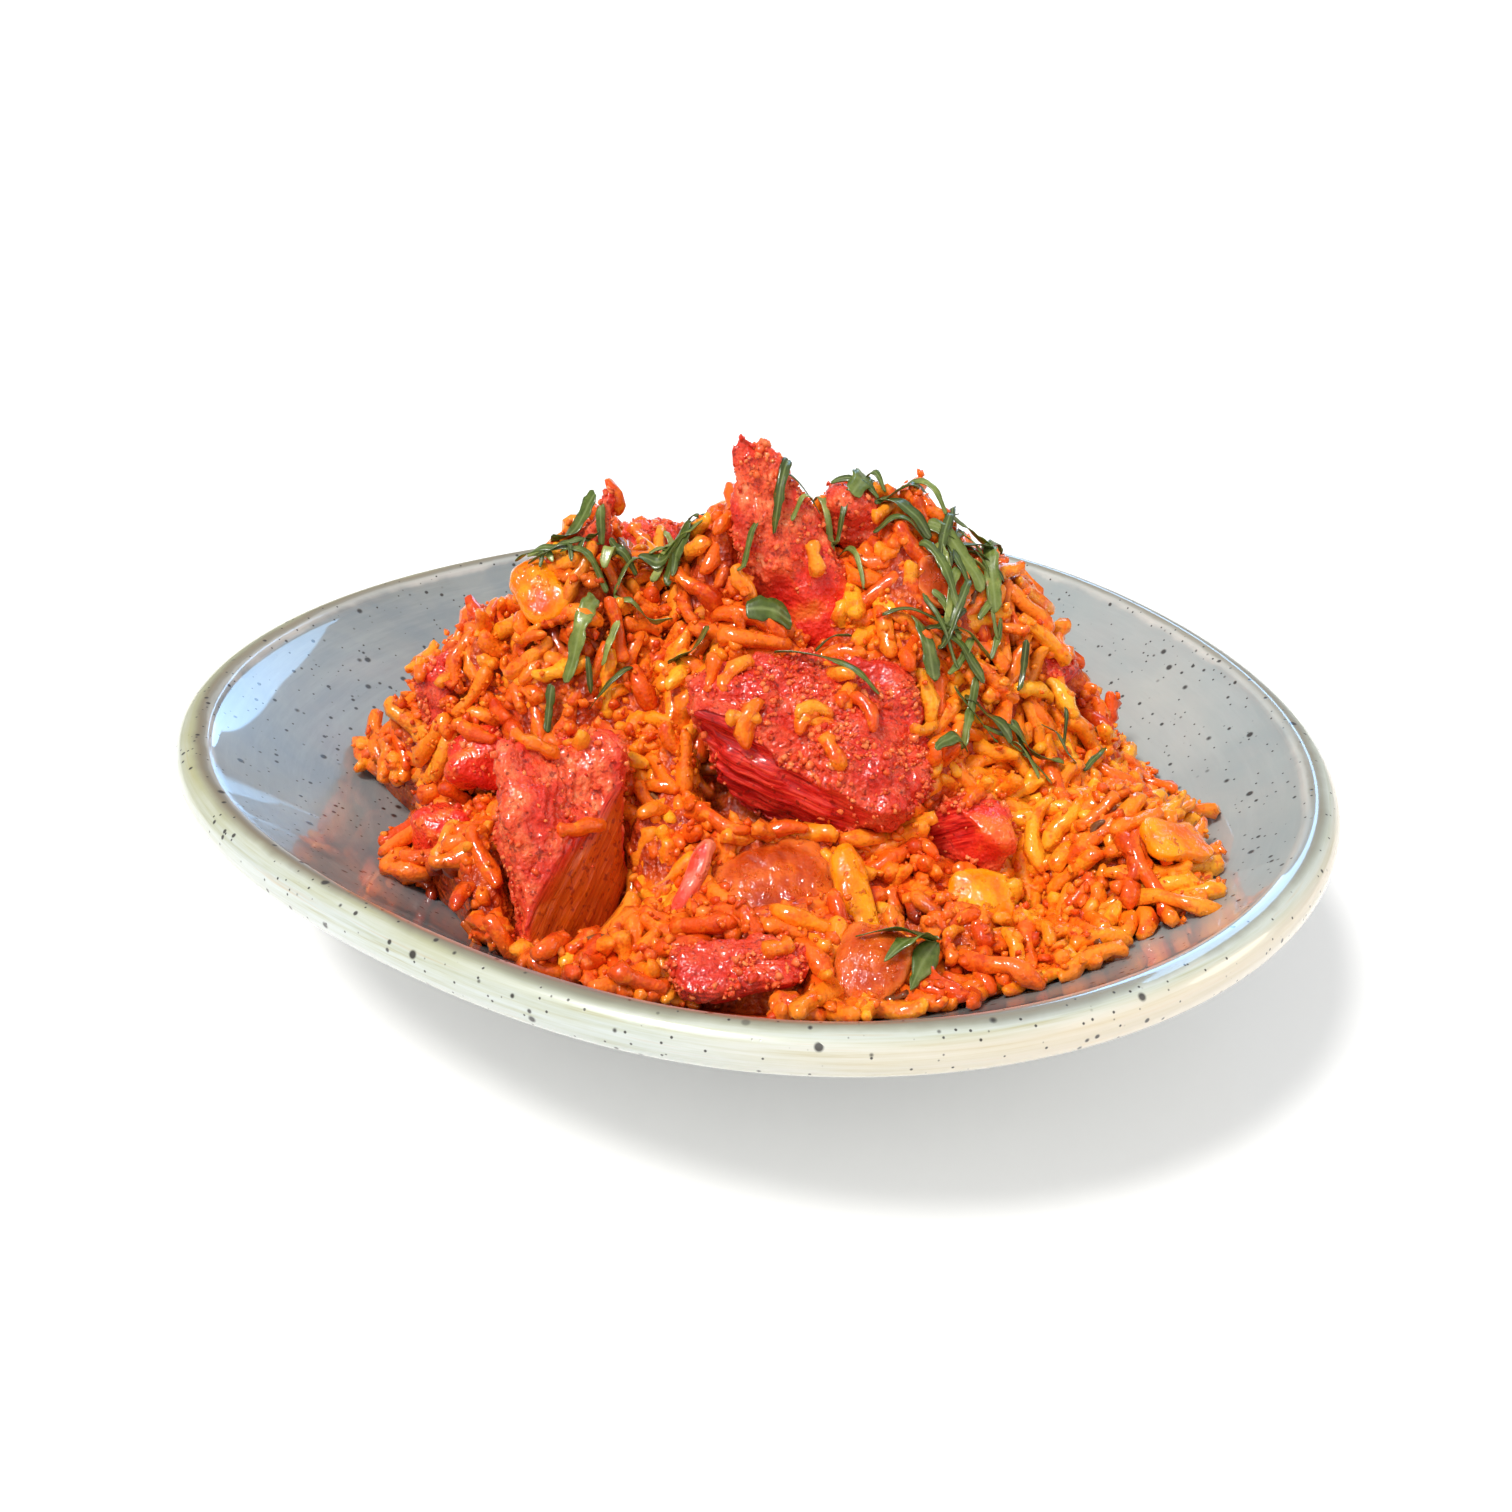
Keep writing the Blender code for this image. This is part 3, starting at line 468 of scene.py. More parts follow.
# the larger pieces repeat the solids of the frame, and the rice settles round them
CHICKEN = (                 # name, middle, half sizes, turn in degrees, taper, lean and squareness
    ("chicken_peak", (5, -5, 78.5), (15, 10, 23.5), (-6, -2, 10), 0.68, -0.30, 2.8),
    ("chicken_centre", (9, -30, 55), (20, 15, 9), (42, 6, 8), 0.0, 0.0, 3.6),
    ("chicken_wedge", (-33, -45.5, 43.5), (10, 8, 19), (-42, 8, 24), -0.1, 0.0, 7.0),
    ("chicken_left_glossy", (-50, -17, 45), (7, 6, 5.5), (20, 0, 20), 0.0, 0.0, 2.8),
    ("chicken_left_upper", (-59, -2.5, 50), (6, 7, 9), (-10, -15, 0), 0.2, 0.0, 3.2),
    ("chicken_left_lower", (-58, -26, 35), (5, 5, 5), (0, 0, 30), 0.0, 0.0, 3.2),
    ("chicken_back_right", (53, 3, 55), (8, 10, 15), (0, -40, 0), 0.2, 0.0, 3.2),
    ("chicken_front", (-3, -74.5, 38.5), (10, 5.5, 4.5), (20, 0, 5), 0.0, 0.0, 3.2),
    ("chicken_lower_right", (37, -38, 43), (8, 6, 6), (30, 0, -15), 0.0, 0.0, 3.2),
    ("chicken_tip", (-29, 3, 82), (3.5, 4, 7), (0, 14, 0), 0.5, 0.0, 2.8),
    ("chicken_crest", (19, 6, 84), (8, 8, 6), (0, 12, 0), 0.1, 0.0, 3.2),
    ("chicken_rear_left", (-26, 38, 60), (13, 11, 9), (-35, 0, 20), 0.0, 0.0, 3.6),
    ("chicken_rear_right", (36, 46, 55), (12, 14, 9), (-38, 0, -25), 0.0, 0.0, 4.5),
)
VEGETABLES = (              # name, middle, half sizes, turn in degrees and curl
    ("onion_petal", (3, -54, 40.0), (10.5, 11, 1.9), (30, -4, 8), -3.0),
    ("onion_front", (18, -73, 40), (6, 7, 1.8), (30, 0, -20), -1.5),
    ("onion_curl", (33, -9, 76.5), (5.5, 5, 1.8), (35, 20, 0), 2.0),
    ("pepper_strip", (16.5, -57, 41), (3.2, 11, 2.0), (32, 0, 16), -1.0),
    ("pepper_triangle", (38, -51, 36.5), (6, 5, 2.0), (35, 10, 0), 0.0),
    ("pepper_top_left", (-40, -6, 74), (4.5, 7, 2.6), (30, -30, 20), -1.5),
    ("pepper_flap", (71, -45, 44), (7, 5, 2.0), (15, 20, 20), 1.0),
    ("pepper_pink", (-11, -54, 42), (1.8, 8.0, 1.5), (28, 0, -25), 0.0),
    ("pepper_rear", (4, 52, 54), (8, 6, 2.0), (-35, 0, 0), -1.5),
)


def turning(degrees):
    """The rotation for turns about x, then y, then z, as a matrix for columns."""
    x, y, z = np.radians(degrees)
    about_x = np.array([[1, 0, 0], [0, math.cos(x), -math.sin(x)], [0, math.sin(x), math.cos(x)]])
    about_y = np.array([[math.cos(y), 0, math.sin(y)], [0, 1, 0], [-math.sin(y), 0, math.cos(y)]])
    about_z = np.array([[math.cos(z), -math.sin(z), 0], [math.sin(z), math.cos(z), 0], [0, 0, 1]])
    return about_z @ about_y @ about_x


def push_out(beads, middle, half, turn, taper=0.0, lean=0.0, power=2.6, curl=0.0):
    """Where a bead lies inside a piece, the way straight out from the piece's middle line."""
    local = (beads - np.array(middle)) @ turning(turn)
    share = np.clip(local[:, 2] / half[2], -1, 1)
    size = np.array(half) + GRAIN_RADIUS
    shifted = local.copy()
    shifted[:, 0] -= lean * share * half[0]
    shifted[:, 2] -= curl * ((local[:, 0] / half[0]) ** 2 + (local[:, 1] / half[1]) ** 2).clip(0, 2) / 2
    width = np.ones_like(local)
    width[:, :2] = (1 - taper * (share + 1) / 2)[:, None]
    reach = ((np.abs(shifted / (size * width)) ** power).sum(1)) ** (1 / power)
    factor = np.where(reach < 1, 1 / np.maximum(reach, 0.35) - 1, 0.0)
    return (shifted * factor[:, None]) @ turning(turn).T


def touching_pairs(beads, reach):
    """Pairs of beads nearer than reach, found by sorting the beads into cubes of that size."""
    cell = np.floor(beads / reach).astype(np.int64) + 400
    key = (cell[:, 0] * 1024 + cell[:, 1]) * 1024 + cell[:, 2]
    order = np.argsort(key, kind="stable")
    ordered = key[order]
    found = []
    for dx, dy, dz in np.ndindex(3, 3, 3):
        step = ((dx - 1) * 1024 + (dy - 1)) * 1024 + (dz - 1)
        if step < 0:
            continue
        start = np.searchsorted(ordered, ordered + step, "left")
        stop = np.searchsorted(ordered, ordered + step, "right")
        if step == 0:
            start = np.arange(len(ordered)) + 1
        count = np.maximum(stop - start, 0)
        first = np.repeat(np.arange(len(ordered)), count)
        offset = np.arange(count.sum()) - np.repeat(np.cumsum(count) - count, count)
        found.append(np.stack([order[first], order[start[first] + offset]], 1))
    pairs = np.concatenate(found)
    apart = np.linalg.norm(beads[pairs[:, 0]] - beads[pairs[:, 1]], axis=1)
    return pairs[apart < reach]


def bead_places(middle, along, length, radius):
    """Middles of the spheres that lie along each grain from end to end."""
    reach = (length / 2 - radius)[:, None] * np.linspace(-1, 1, BEADS)
    return (middle[:, None] + along[:, None] * reach[..., None]).reshape(-1, 3)


def settle_grains(rng):
    """Rods scattered in the layer over the core, then pushed apart and drawn in, step by step."""
    footprint = (outer_field > bowl_field + 0.5) & inside_foot(grid_x, grid_y, 1.5)
    weight = (footprint * np.minimum(steepness, 3.0)).ravel()
    cells = rng.choice(weight.size, GRAIN_COUNT, p=weight / weight.sum())
    x = grid_x.ravel()[cells] + rng.uniform(-0.4, 0.4, GRAIN_COUNT)
    y = grid_y.ravel()[cells] + rng.uniform(-0.4, 0.4, GRAIN_COUNT)
    slope_x, slope_y, floor = read(x, y, *floor_slope, floor_field)
    normal = unit(columns(-slope_x, -slope_y, 1.0))
    middle = columns(x, y, floor)
    middle += normal * rng.uniform(GRAIN_RADIUS, GRAIN_LAYER + 1.0, GRAIN_COUNT)[:, None]
    along = rng.normal(size=(GRAIN_COUNT, 3))
    along -= normal * (along * normal).sum(1)[:, None] * rng.uniform(0.1, 1.0, GRAIN_COUNT)[:, None]
    combed = 0.8 * np.exp(-((x - COMBED[0]) ** 2 + (y - COMBED[1]) ** 2) / (2 * COMBED[2] ** 2))[:, None]
    along = unit(unit(along) * (1 - combed) + combed * np.array(COMBED_WAY))
    length = np.clip(rng.normal(10.8, 2.6, GRAIN_COUNT), 5.5, 16.0) * (1 + 0.25 * combed[:, 0])
    shorter = rng.random(GRAIN_COUNT) < 0.20 * (1 - combed[:, 0])
    length[shorter] *= 0.55
    loose = np.repeat(rng.uniform(0.25, 1.0, GRAIN_COUNT) ** 2, BEADS)
    radius = GRAIN_RADIUS * rng.uniform(0.86, 1.08, GRAIN_COUNT)
    grain_of = np.repeat(np.arange(GRAIN_COUNT), BEADS)
    bead_radius = np.repeat(radius, BEADS)
    for _ in range(SETTLE_STEPS):
        beads = bead_places(middle, along, length, radius)
        move = np.zeros_like(beads)
        hits = np.ones(len(beads))
        pairs = touching_pairs(beads, BEAD_REACH * GRAIN_RADIUS)
        pairs = pairs[grain_of[pairs[:, 0]] != grain_of[pairs[:, 1]]]
        gap = beads[pairs[:, 0]] - beads[pairs[:, 1]]
        apart = np.linalg.norm(gap, axis=1)
        overlap = BEAD_PACKING * (bead_radius[pairs[:, 0]] + bead_radius[pairs[:, 1]]) - apart
        pairs, gap, apart, overlap = (part[overlap > 0] for part in (pairs, gap, apart, overlap))
        push = gap / np.maximum(apart, 1e-6)[:, None] * (overlap / 2)[:, None]
        for side, sign in ((0, 1.0), (1, -1.0)):
            for axis in range(3):
                move[:, axis] += np.bincount(pairs[:, side], sign * push[:, axis], len(beads))
            hits += np.bincount(pairs[:, side], minlength=len(beads))
        move /= np.sqrt(hits)[:, None]
        x, y, z = beads.T
        slope_x, slope_y, floor, skin = read(x, y, *floor_slope, floor_field, skin_field)
        upright = 1 / np.sqrt(1 + slope_x ** 2 + slope_y ** 2)
        normal = columns(-slope_x * upright, -slope_y * upright, upright)
        over_floor = (z - floor) * upright
        over_skin = (z - skin) * upright + bead_radius
        pull = np.where(over_skin > 0, np.minimum(over_skin * 0.3, MOST_PULL), LEAST_PULL) * loose
        sunk = np.maximum(bead_radius - over_floor, 0)
        move += normal * (sunk - np.where(sunk > 0, 0, pull))[:, None]
        for _, centre, half, *shape in CHICKEN:
            near = np.linalg.norm(beads - np.array(centre), axis=1) < max(half) * 1.5 + 3
            move[near] += push_out(beads[near], centre, half, *shape)
        for _, centre, half, turn_by, curl in VEGETABLES:
            raised = np.array(centre) + turning(turn_by) @ np.array([0, 0, FACE_CLEAR])
            clear = (half[0] - 1.2, half[1] - 1.2, half[2] + FACE_CLEAR)
            near = np.linalg.norm(beads - raised, axis=1) < max(half) * 1.3 + 4
            move[near] += push_out(beads[near], raised, clear, turn_by, curl=curl)
        moved = (beads + move).reshape(GRAIN_COUNT, BEADS, 3)
        middle = moved.mean(1)
        along = unit((moved * np.linspace(-1, 1, BEADS)[:, None]).sum(1))
    return middle, along, length, radius


def shade_and_sauce_depth(points):
    """0 at the surface of the heap, rising to 1 some millimetres under it, for painted shade between the grains
    and the sauce gathered there: the larger of the depths under the clumps' own surface and under the smooth
    mounds."""
    x, y, z = points.T
    steep, skin = read(x, y, capped, skin_field)
    under_clumps = (skin - z) / steep - 1.4
    under_mounds = (heap_height(x, y) + PROUD * steep - z) / steep - 2.2
    return np.clip(np.maximum(under_clumps, under_mounds) / 2.8, 0, 1)


def grain_mesh(name, middle, along, length, radius, tint, rng):
    """Blunt bowed tubes, all made at once: lumpy six-sided rings along a line that bends two ways."""
    stations = np.array([-0.97, -0.86, -0.52, -0.14, 0.26, 0.62, 0.88, 0.98])
    swell = (1 - np.abs(stations) ** 7) ** 0.5
    count = len(middle)
    side = unit(np.cross(along, rng.normal(size=(count, 3))))
    over = np.cross(along, side)
    bow = (rng.uniform(-0.20, 0.20, count) * length)[:, None]
    swing = (rng.uniform(-0.10, 0.10, count) * length)[:, None]
    ends = np.append(stations, [-1.0, 1.0])
    line = middle[:, None] + along[:, None] * (ends * (length / 2)[:, None])[..., None]
    line += over[:, None] * (bow * (0.4 - ends ** 2))[..., None]
    line += side[:, None] * (swing * np.sin(2.6 * ends))[..., None]
    waist = 1 + 0.24 * rng.uniform(-1, 1, (count, len(stations), 1))
    lumps = waist * (1 + 0.27 * rng.uniform(-1, 1, (count, len(stations), GRAIN_SIDES)))
    thick = radius[:, None, None] * swell[:, None] * lumps
    angle = circle(GRAIN_SIDES)
    rings = (line[:, :-2, None] + side[:, None, None] * (thick * np.cos(angle))[..., None]
             + over[:, None, None] * (thick * np.sin(angle))[..., None])
    points = np.concatenate([rings.reshape(count, -1, 3), line[:, -2:]], 1)
    tint = np.repeat(tint, points.shape[1])
    points = points.reshape(-1, 3)
    return tube_mesh(name, points, len(stations), GRAIN_SIDES, tint=tint, sunk=shade_and_sauce_depth(points))


# a ball of twelve points: the top, two rings of five turned half a side apart, and the bottom
here, after = np.arange(5), (np.arange(5) + 1) % 5
five, between = circle(5), circle(5) + math.pi / 5
BALL_POINTS = np.concatenate([[[0, 0, 1]], columns(np.cos(five), np.sin(five), 0.5),
                              columns(np.cos(between), np.sin(between), -0.5), [[0, 0, -1]]])
BALL_FACES = np.concatenate([columns(0, 1 + here, 1 + after), columns(1 + here, 6 + here, 1 + after),
                             columns(1 + after, 6 + here, 6 + after), columns(11, 6 + after, 6 + here)])


def crumb_mesh(name, place, size, tint, rng):
    """Twenty-sided balls, each point moved in or out at random, stretched and turned at random."""
    count, corners = len(place), len(BALL_POINTS)
    shape = BALL_POINTS * rng.uniform(0.55, 1.40, (count, corners, 1)) * rng.uniform(0.6, 1.5, (count, 1, 3))
    turned = np.linalg.qr(rng.normal(size=(count, 3, 3)))[0]
    turned *= np.sign(np.linalg.det(turned))[:, None, None]
    points = place[:, None] + np.einsum("nij,nkj->nki", turned, shape) * size[:, None, None]
    points = points.reshape(-1, 3)
    faces = (BALL_FACES + (np.arange(count) * corners)[:, None, None]).reshape(-1, 3)
    return make_mesh(name, points, faces, tint=np.repeat(tint, corners), sunk=shade_and_sauce_depth(points))


def rice_material(name, light, full, deep, crust):
    """Cooked rice under sauce: the grain's own tint, blotches of masala and darker crumbs, painted shade and
    sauce deeper in the heap, wet sheen.
    """
    n = Nodes(name)
    colour = n.ramp(n.attribute("tint"), (0.0, deep), (0.40, full), (1.0, light))
    colour = n.over(colour, n.mottle(230.0, 4.0, 0.64), ((0.50, 0.0), (0.63, 0.80)), crust)
    colour = n.over(colour, n.mottle(480.0, 2.0), ((0.54, 0.0), (0.68, 0.55)), light)
    colour = n.over(colour, n.mottle(950.0, 2.0), ((0.60, 0.0), (0.70, 0.45)), (0.55, 0.035, 0.003))
    # painted shade: darker red-brown with depth under the heap, for the shade between the grains as well as the
    # sauce gathered there
    colour = n.mix(n.times(n.attribute("sunk"), 0.88), colour, (0.23, 0.014, 0.002))
    relief = n.plus(n.mottle(700.0, 4.0, 0.65), n.times(n.cells(1300.0), 0.45))
    wet = n.bump(n.mottle(560.0, 2.0, 0.5), 0.45, 0.0006)
    return n.finish(Base_Color=colour, Normal=n.bump(relief, 0.55, 0.0005), Coat_Normal=wet,
                    Roughness=n.ramp(n.mottle(300.0, 2.0), (0.38, 0.22), (0.62, 0.50)),
                    Specular_IOR_Level=0.05, Coat_Weight=0.8, Coat_Roughness=0.04, Coat_IOR=1.36,
                    Subsurface_Weight=0.05, Subsurface_Radius=(0.0020, 0.0006, 0.0002), Subsurface_Scale=1.0)


def soft_step(value):
    """A step from 0 to 1 that is never quite level: 1 / (1 + e to the minus value)."""
    return 1 / (1 + np.exp(-np.clip(value, -30, 30)))


def sauce_zone(points, rng):
    """How plain a place is: 0 under thick masala, 1 where the saffron shows; plainer at the right."""
    plain = 0.5 + 0.5 * noise(points, 15.0, 31) + 0.22 * rng.normal(size=len(points))
    right = soft_step((points[:, 0] - 42) / 7)
    front = soft_step(-(points[:, 1] + 56) / 4) * (points[:, 0] < 45)
    return plain + 0.28 * right * (points[:, 1] < 5) - 0.16 * front


rice_rng = np.random.default_rng(21)
grains = settle_grains(rice_rng)
grain_middle, grain_along, grain_length, grain_radius = grains
x, y, z = grain_middle.T
over_heap = z - read(x, y, outer_field)[0]
grain_top = z + np.abs(grain_along[:, 2]) * grain_length / 2
# grains that rolled off the heap or that stand free of it are left out
kept = (z > 5) & inside_foot(x, y, 1.0) & (over_heap <= 7.0) & (grain_top < 96)
zone = sauce_zone(grain_middle, rice_rng)
tints = rice_rng.random(GRAIN_COUNT)
RICE_KINDS = (              # name, which grains, then the light, full and deep tones and the crust's
    ("rice_saffron", zone > 0.76,
     ((1.0, 0.42, 0.020), (0.98, 0.275, 0.009), (0.92, 0.165, 0.006), (0.90, 0.12, 0.006))),
    ("rice_orange", (zone > 0.33) & (zone <= 0.76),
     ((1.0, 0.32, 0.018), (0.93, 0.175, 0.007), (0.80, 0.095, 0.005), (0.74, 0.062, 0.005))),
    ("rice_masala", zone <= 0.33,
     ((0.98, 0.22, 0.014), (0.88, 0.115, 0.006), (0.68, 0.055, 0.004), (0.56, 0.032, 0.003))),
)
food, rice_finish = [], {}
for name, chosen, tones in RICE_KINDS:
    chosen = chosen & kept
    mesh = grain_mesh(name, *(part[chosen] for part in grains), tints[chosen], rice_rng)
    rice_finish[name] = rice_material(name, *tones)
    food.append(add_piece(name, mesh, rice_finish[name], "spiced_rice", "rice"))

# crumbs of masala and broken rice, stuck to the sides of the grains
host = rice_rng.choice(np.flatnonzero(kept), CRUMB_COUNT)
host_middle, host_along, host_length, host_radius = (part[host] for part in grains)
out_way = rice_rng.normal(size=(CRUMB_COUNT, 3)) + np.array([0, 0, 0.5])
out_way = unit(out_way - host_along * (out_way * host_along).sum(1)[:, None])
crumb_size = 0.24 + 0.75 * rice_rng.random(CRUMB_COUNT) ** 2.4     # radius, mostly small
crumb_place = host_middle + out_way * (host_radius * 1.02)[:, None]
crumb_place += host_along * (host_length * rice_rng.uniform(-0.42, 0.42, CRUMB_COUNT))[:, None]
crumb_zone = sauce_zone(crumb_place, rice_rng) + 0.1
for name, chosen, finish in (("crumbs_masala", crumb_zone <= 0.62, "rice_masala"),
                             ("crumbs_rice", crumb_zone > 0.62, "rice_orange")):
    mesh = crumb_mesh(name, crumb_place[chosen], crumb_size[chosen], rice_rng.random(chosen.sum()), rice_rng)
    food.append(add_piece(name, mesh, rice_finish[finish], "spiced_rice", "rice"))

CORE_TURNS, CORE_RINGS = 300, 130


def paste_field():
    """Height of the sauce and crushed rice between the grains: the tops of the grains' beads spread
    over the grid, evened out, and let down a little in some places and more in others."""
    beads = bead_places(*(part[kept] for part in grains))
    tops = np.full(grid_x.shape, -50.0)
    cell = np.round((beads[:, :2] + GRID_HALF) / GRID_STEP).astype(int)
    for dx, dy in np.ndindex(5, 5):
        drop = 0.3 * ((dx - 2) ** 2 + (dy - 2) ** 2)
        np.maximum.at(tops, (cell[:, 0] + dx - 2, cell[:, 1] + dy - 2), beads[:, 2] + 1.3 - drop)
    tops = np.maximum(tops, core_field)
    for _ in range(5):
        tops = (tops + sum(np.roll(tops, shift, axis) for axis in (0, 1) for shift in (1, -1))) / 5
    depth = 2.1 + 2.4 * noise(flat, 9.0, 43) + 1.1 * noise(flat, 4.0, 44)
    return tops - np.clip(depth, 0.5, 5.0).reshape(grid_x.shape) * np.minimum(steepness, 1.8)


def core_mesh():
    """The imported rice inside: a polar grid on the paste field above, and the bowl's inside below."""
    paste = paste_field()
    angle = circle(CORE_TURNS)
    steps = np.linspace(20, 92, 289)
    x, y = plan_point(steps, angle[:, None])
    over, under = read(x, y, outer_field, bowl_field)
    thick = (over - under > 1.0) & inside_foot(x, y, 3.0)
    edge = steps[thick.shape[1] - 1 - thick[:, ::-1].argmax(1)]
    edge = sum(np.roll(edge, shift) for shift in range(-4, 5)) / 9
    x, y = plan_point(edge * np.linspace(1 / CORE_RINGS, 1, CORE_RINGS)[:, None], angle)
    spots = columns(x, y, 0)
    relief = (0.45 * noise(spots, 2.6, 41) + 0.35 * noise(spots, 1.3, 42)).reshape(x.shape)
    top, base = read(x, y, paste, bowl_field)
    base += 0.3
    top = np.maximum(top + relief, base + 0.3)
    middle_top = read(np.zeros(1), np.zeros(1), paste)[0][0]
    points = np.concatenate([columns(x, y, top), columns(x[::-1], y[::-1], base[::-1]),
                             [[0, 0, middle_top], [0, 0, INNER_FLOOR + 0.3]]])
    return tube_mesh("rice_core", points, 2 * CORE_RINGS, CORE_TURNS, True)


def core_material():
    """Crushed rice and sauce in the gaps: red-brown to orange, wet and granular, its darker tones deepened as
    painted shade in the gaps.
    """
    n = Nodes("rice_core")
    # painted shade: the darker red-brown stops stand partly for the shade in the gaps between the grains
    colour = n.ramp(n.mottle(260.0, 4.0, 0.65), (0.32, (0.26, 0.014, 0.002)),
                    (0.48, (0.56, 0.055, 0.005)), (0.66, (0.80, 0.14, 0.009)))
    uneven = n.bump(n.plus(n.mottle(700.0, 4.0, 0.7), n.cells(900.0)), 0.7, 0.0008)
    return n.finish(Base_Color=colour, Roughness=0.38, Normal=uneven, Specular_IOR_Level=0.12,
                    Coat_Weight=0.6, Coat_Roughness=0.12, Coat_IOR=1.4, Coat_Normal=uneven)


food.append(add_piece("rice_core", core_mesh(), core_material(), "spiced_rice", "rice"))

# whole cumin seeds, cooked dark, lying on the rice
CUMIN_COUNT = 16
host = rice_rng.choice(np.flatnonzero(kept & (over_heap > -0.5)), CUMIN_COUNT)
cumin_place = grain_middle[host] + columns(0, 0, grain_radius[host] + 0.3)
mesh = grain_mesh("cumin_seeds", cumin_place, grain_along[host], rice_rng.uniform(4.2, 5.6, CUMIN_COUNT),
                  np.full(CUMIN_COUNT, 0.62), rice_rng.random(CUMIN_COUNT), rice_rng)
finish = rice_material("cumin_seeds", (0.30, 0.13, 0.04), (0.17, 0.06, 0.02), (0.09, 0.03, 0.01),
                       (0.20, 0.05, 0.01))
add_piece("cumin_seeds", mesh, finish, "spiced_rice")

# ------------------------------------------------------------
# Chicken. Pieces of tandoori chicken, coloured crimson by the marinade, torn and cut across the
# grain of the meat, with a granular crust of cooked masala. They sit in pockets of the rice.
# ------------------------------------------------------------
CHICKEN_LUMPS = 0.3
CRUST_SHARE = {"chicken_centre": 7.5, "chicken_front": 6.0}      # crumbs to each square millimetre or so
# where a piece was cut: the way its cut side faces, how far that lies from its middle in
# millimetres, and the way the meat's fibres run along it
CUT_SIDES = {
    "chicken_centre": ((-0.42, -0.88, -0.20), 10.5, (1.0, 0.1, -0.15)),
    "chicken_wedge": ((0.80, -0.60, 0.12), 5.6, (0.8, 1.0, 1.0)),
    "chicken_lower_right": ((-0.6, -0.7, 0.2), 4.0, (1.0, 0.0, 0.3)),
    "chicken_front": ((0.2, -0.6, -0.75), 3.0, (1.0, 0.0, 0.1)),
    "chicken_back_right": ((0.6, -0.5, -0.6), 6.0, (0.3, 0.4, 0.9)),
    "chicken_rear_left": ((-0.6, 0.7, 0.1), 8.0, (0.8, 0.6, 0.0)),
    "chicken_rear_right": ((0.7, 0.7, 0.0), 9.0, (-0.6, 0.7, 0.2)),
}
CUT_FLATNESS = 0.85
TORN_DEPTH = {"chicken_centre": 1.7, "chicken_peak": 1.2}
FIBRE_DEPTH = {"chicken_wedge": 0.25}
LAYER_DEPTH = {"chicken_wedge": 0.3, "chicken_centre": 2.2, "chicken_rear_right": 0.3}
BROWN_CUTS = ("chicken_wedge",)
DARK_CRUSTS = ("chicken_centre", "chicken_front", "chicken_left_upper")
# smooth wet places: middle in millimetres and reach
SMOOTH_PLACES = {
    "chicken_peak": ((9, -14, 70), 12.0),
    "chicken_left_glossy": ((-50, -20, 47), 20.0),
    "chicken_left_lower": ((-58, -26, 36), 20.0),
    "chicken_lower_right": ((40, -42, 45), 6.0),
}


def block_surface(half, seed, lumps, power, across, taper=0.0, lean=0.0, curl=0.0):
    """A rounded block: a unit ball over longitude and latitude, squared by a power norm, rippled by
    six sine waves, tapered and leaned along z, scaled to its half sizes and curled at its ends.
    Returns its points, and how many rings they make and how many sides each ring has."""
    around = circle(2 * across)
    up = np.linspace(-math.pi / 2, math.pi / 2, across + 1)[1:-1, None]
    ball = columns(np.cos(up) * np.cos(around), np.cos(up) * np.sin(around), np.sin(up))
    ball = np.concatenate([ball, [[0, 0, -1.0], [0, 0, 1.0]]])
    shaped = ball / ((np.abs(ball) ** power).sum(1) ** (1 / power))[:, None]
    rng = np.random.default_rng(seed)
    ripple = sum(np.sin(ball @ rng.normal(0, 2.2, 3) + rng.uniform(0, 6.28)) / 6 for _ in range(6))
    shaped = shaped * (1 + lumps * ripple)[:, None]
    shaped[:, :2] *= 1 - taper * (shaped[:, 2:] + 1) / 2
    shaped[:, 0] += lean * shaped[:, 2]
    shaped *= half
    shaped[:, 2] += curl * ((shaped[:, 0] / half[0]) ** 2 + (shaped[:, 1] / half[1]) ** 2) / 2
    return shaped, across - 1, 2 * across


def outward(points, rings, sides):
    """Normals of a closed ring grid with two tips, from the cross product of its two directions."""
    body = points[:-2].reshape(rings, sides, 3)
    around = np.roll(body, -1, 1) - np.roll(body, 1, 1)
    normal = unit(np.cross(around, np.gradient(body, axis=0)).reshape(-1, 3))
    return np.concatenate([normal, unit([normal[:sides].mean(0), normal[-sides:].mean(0)])])


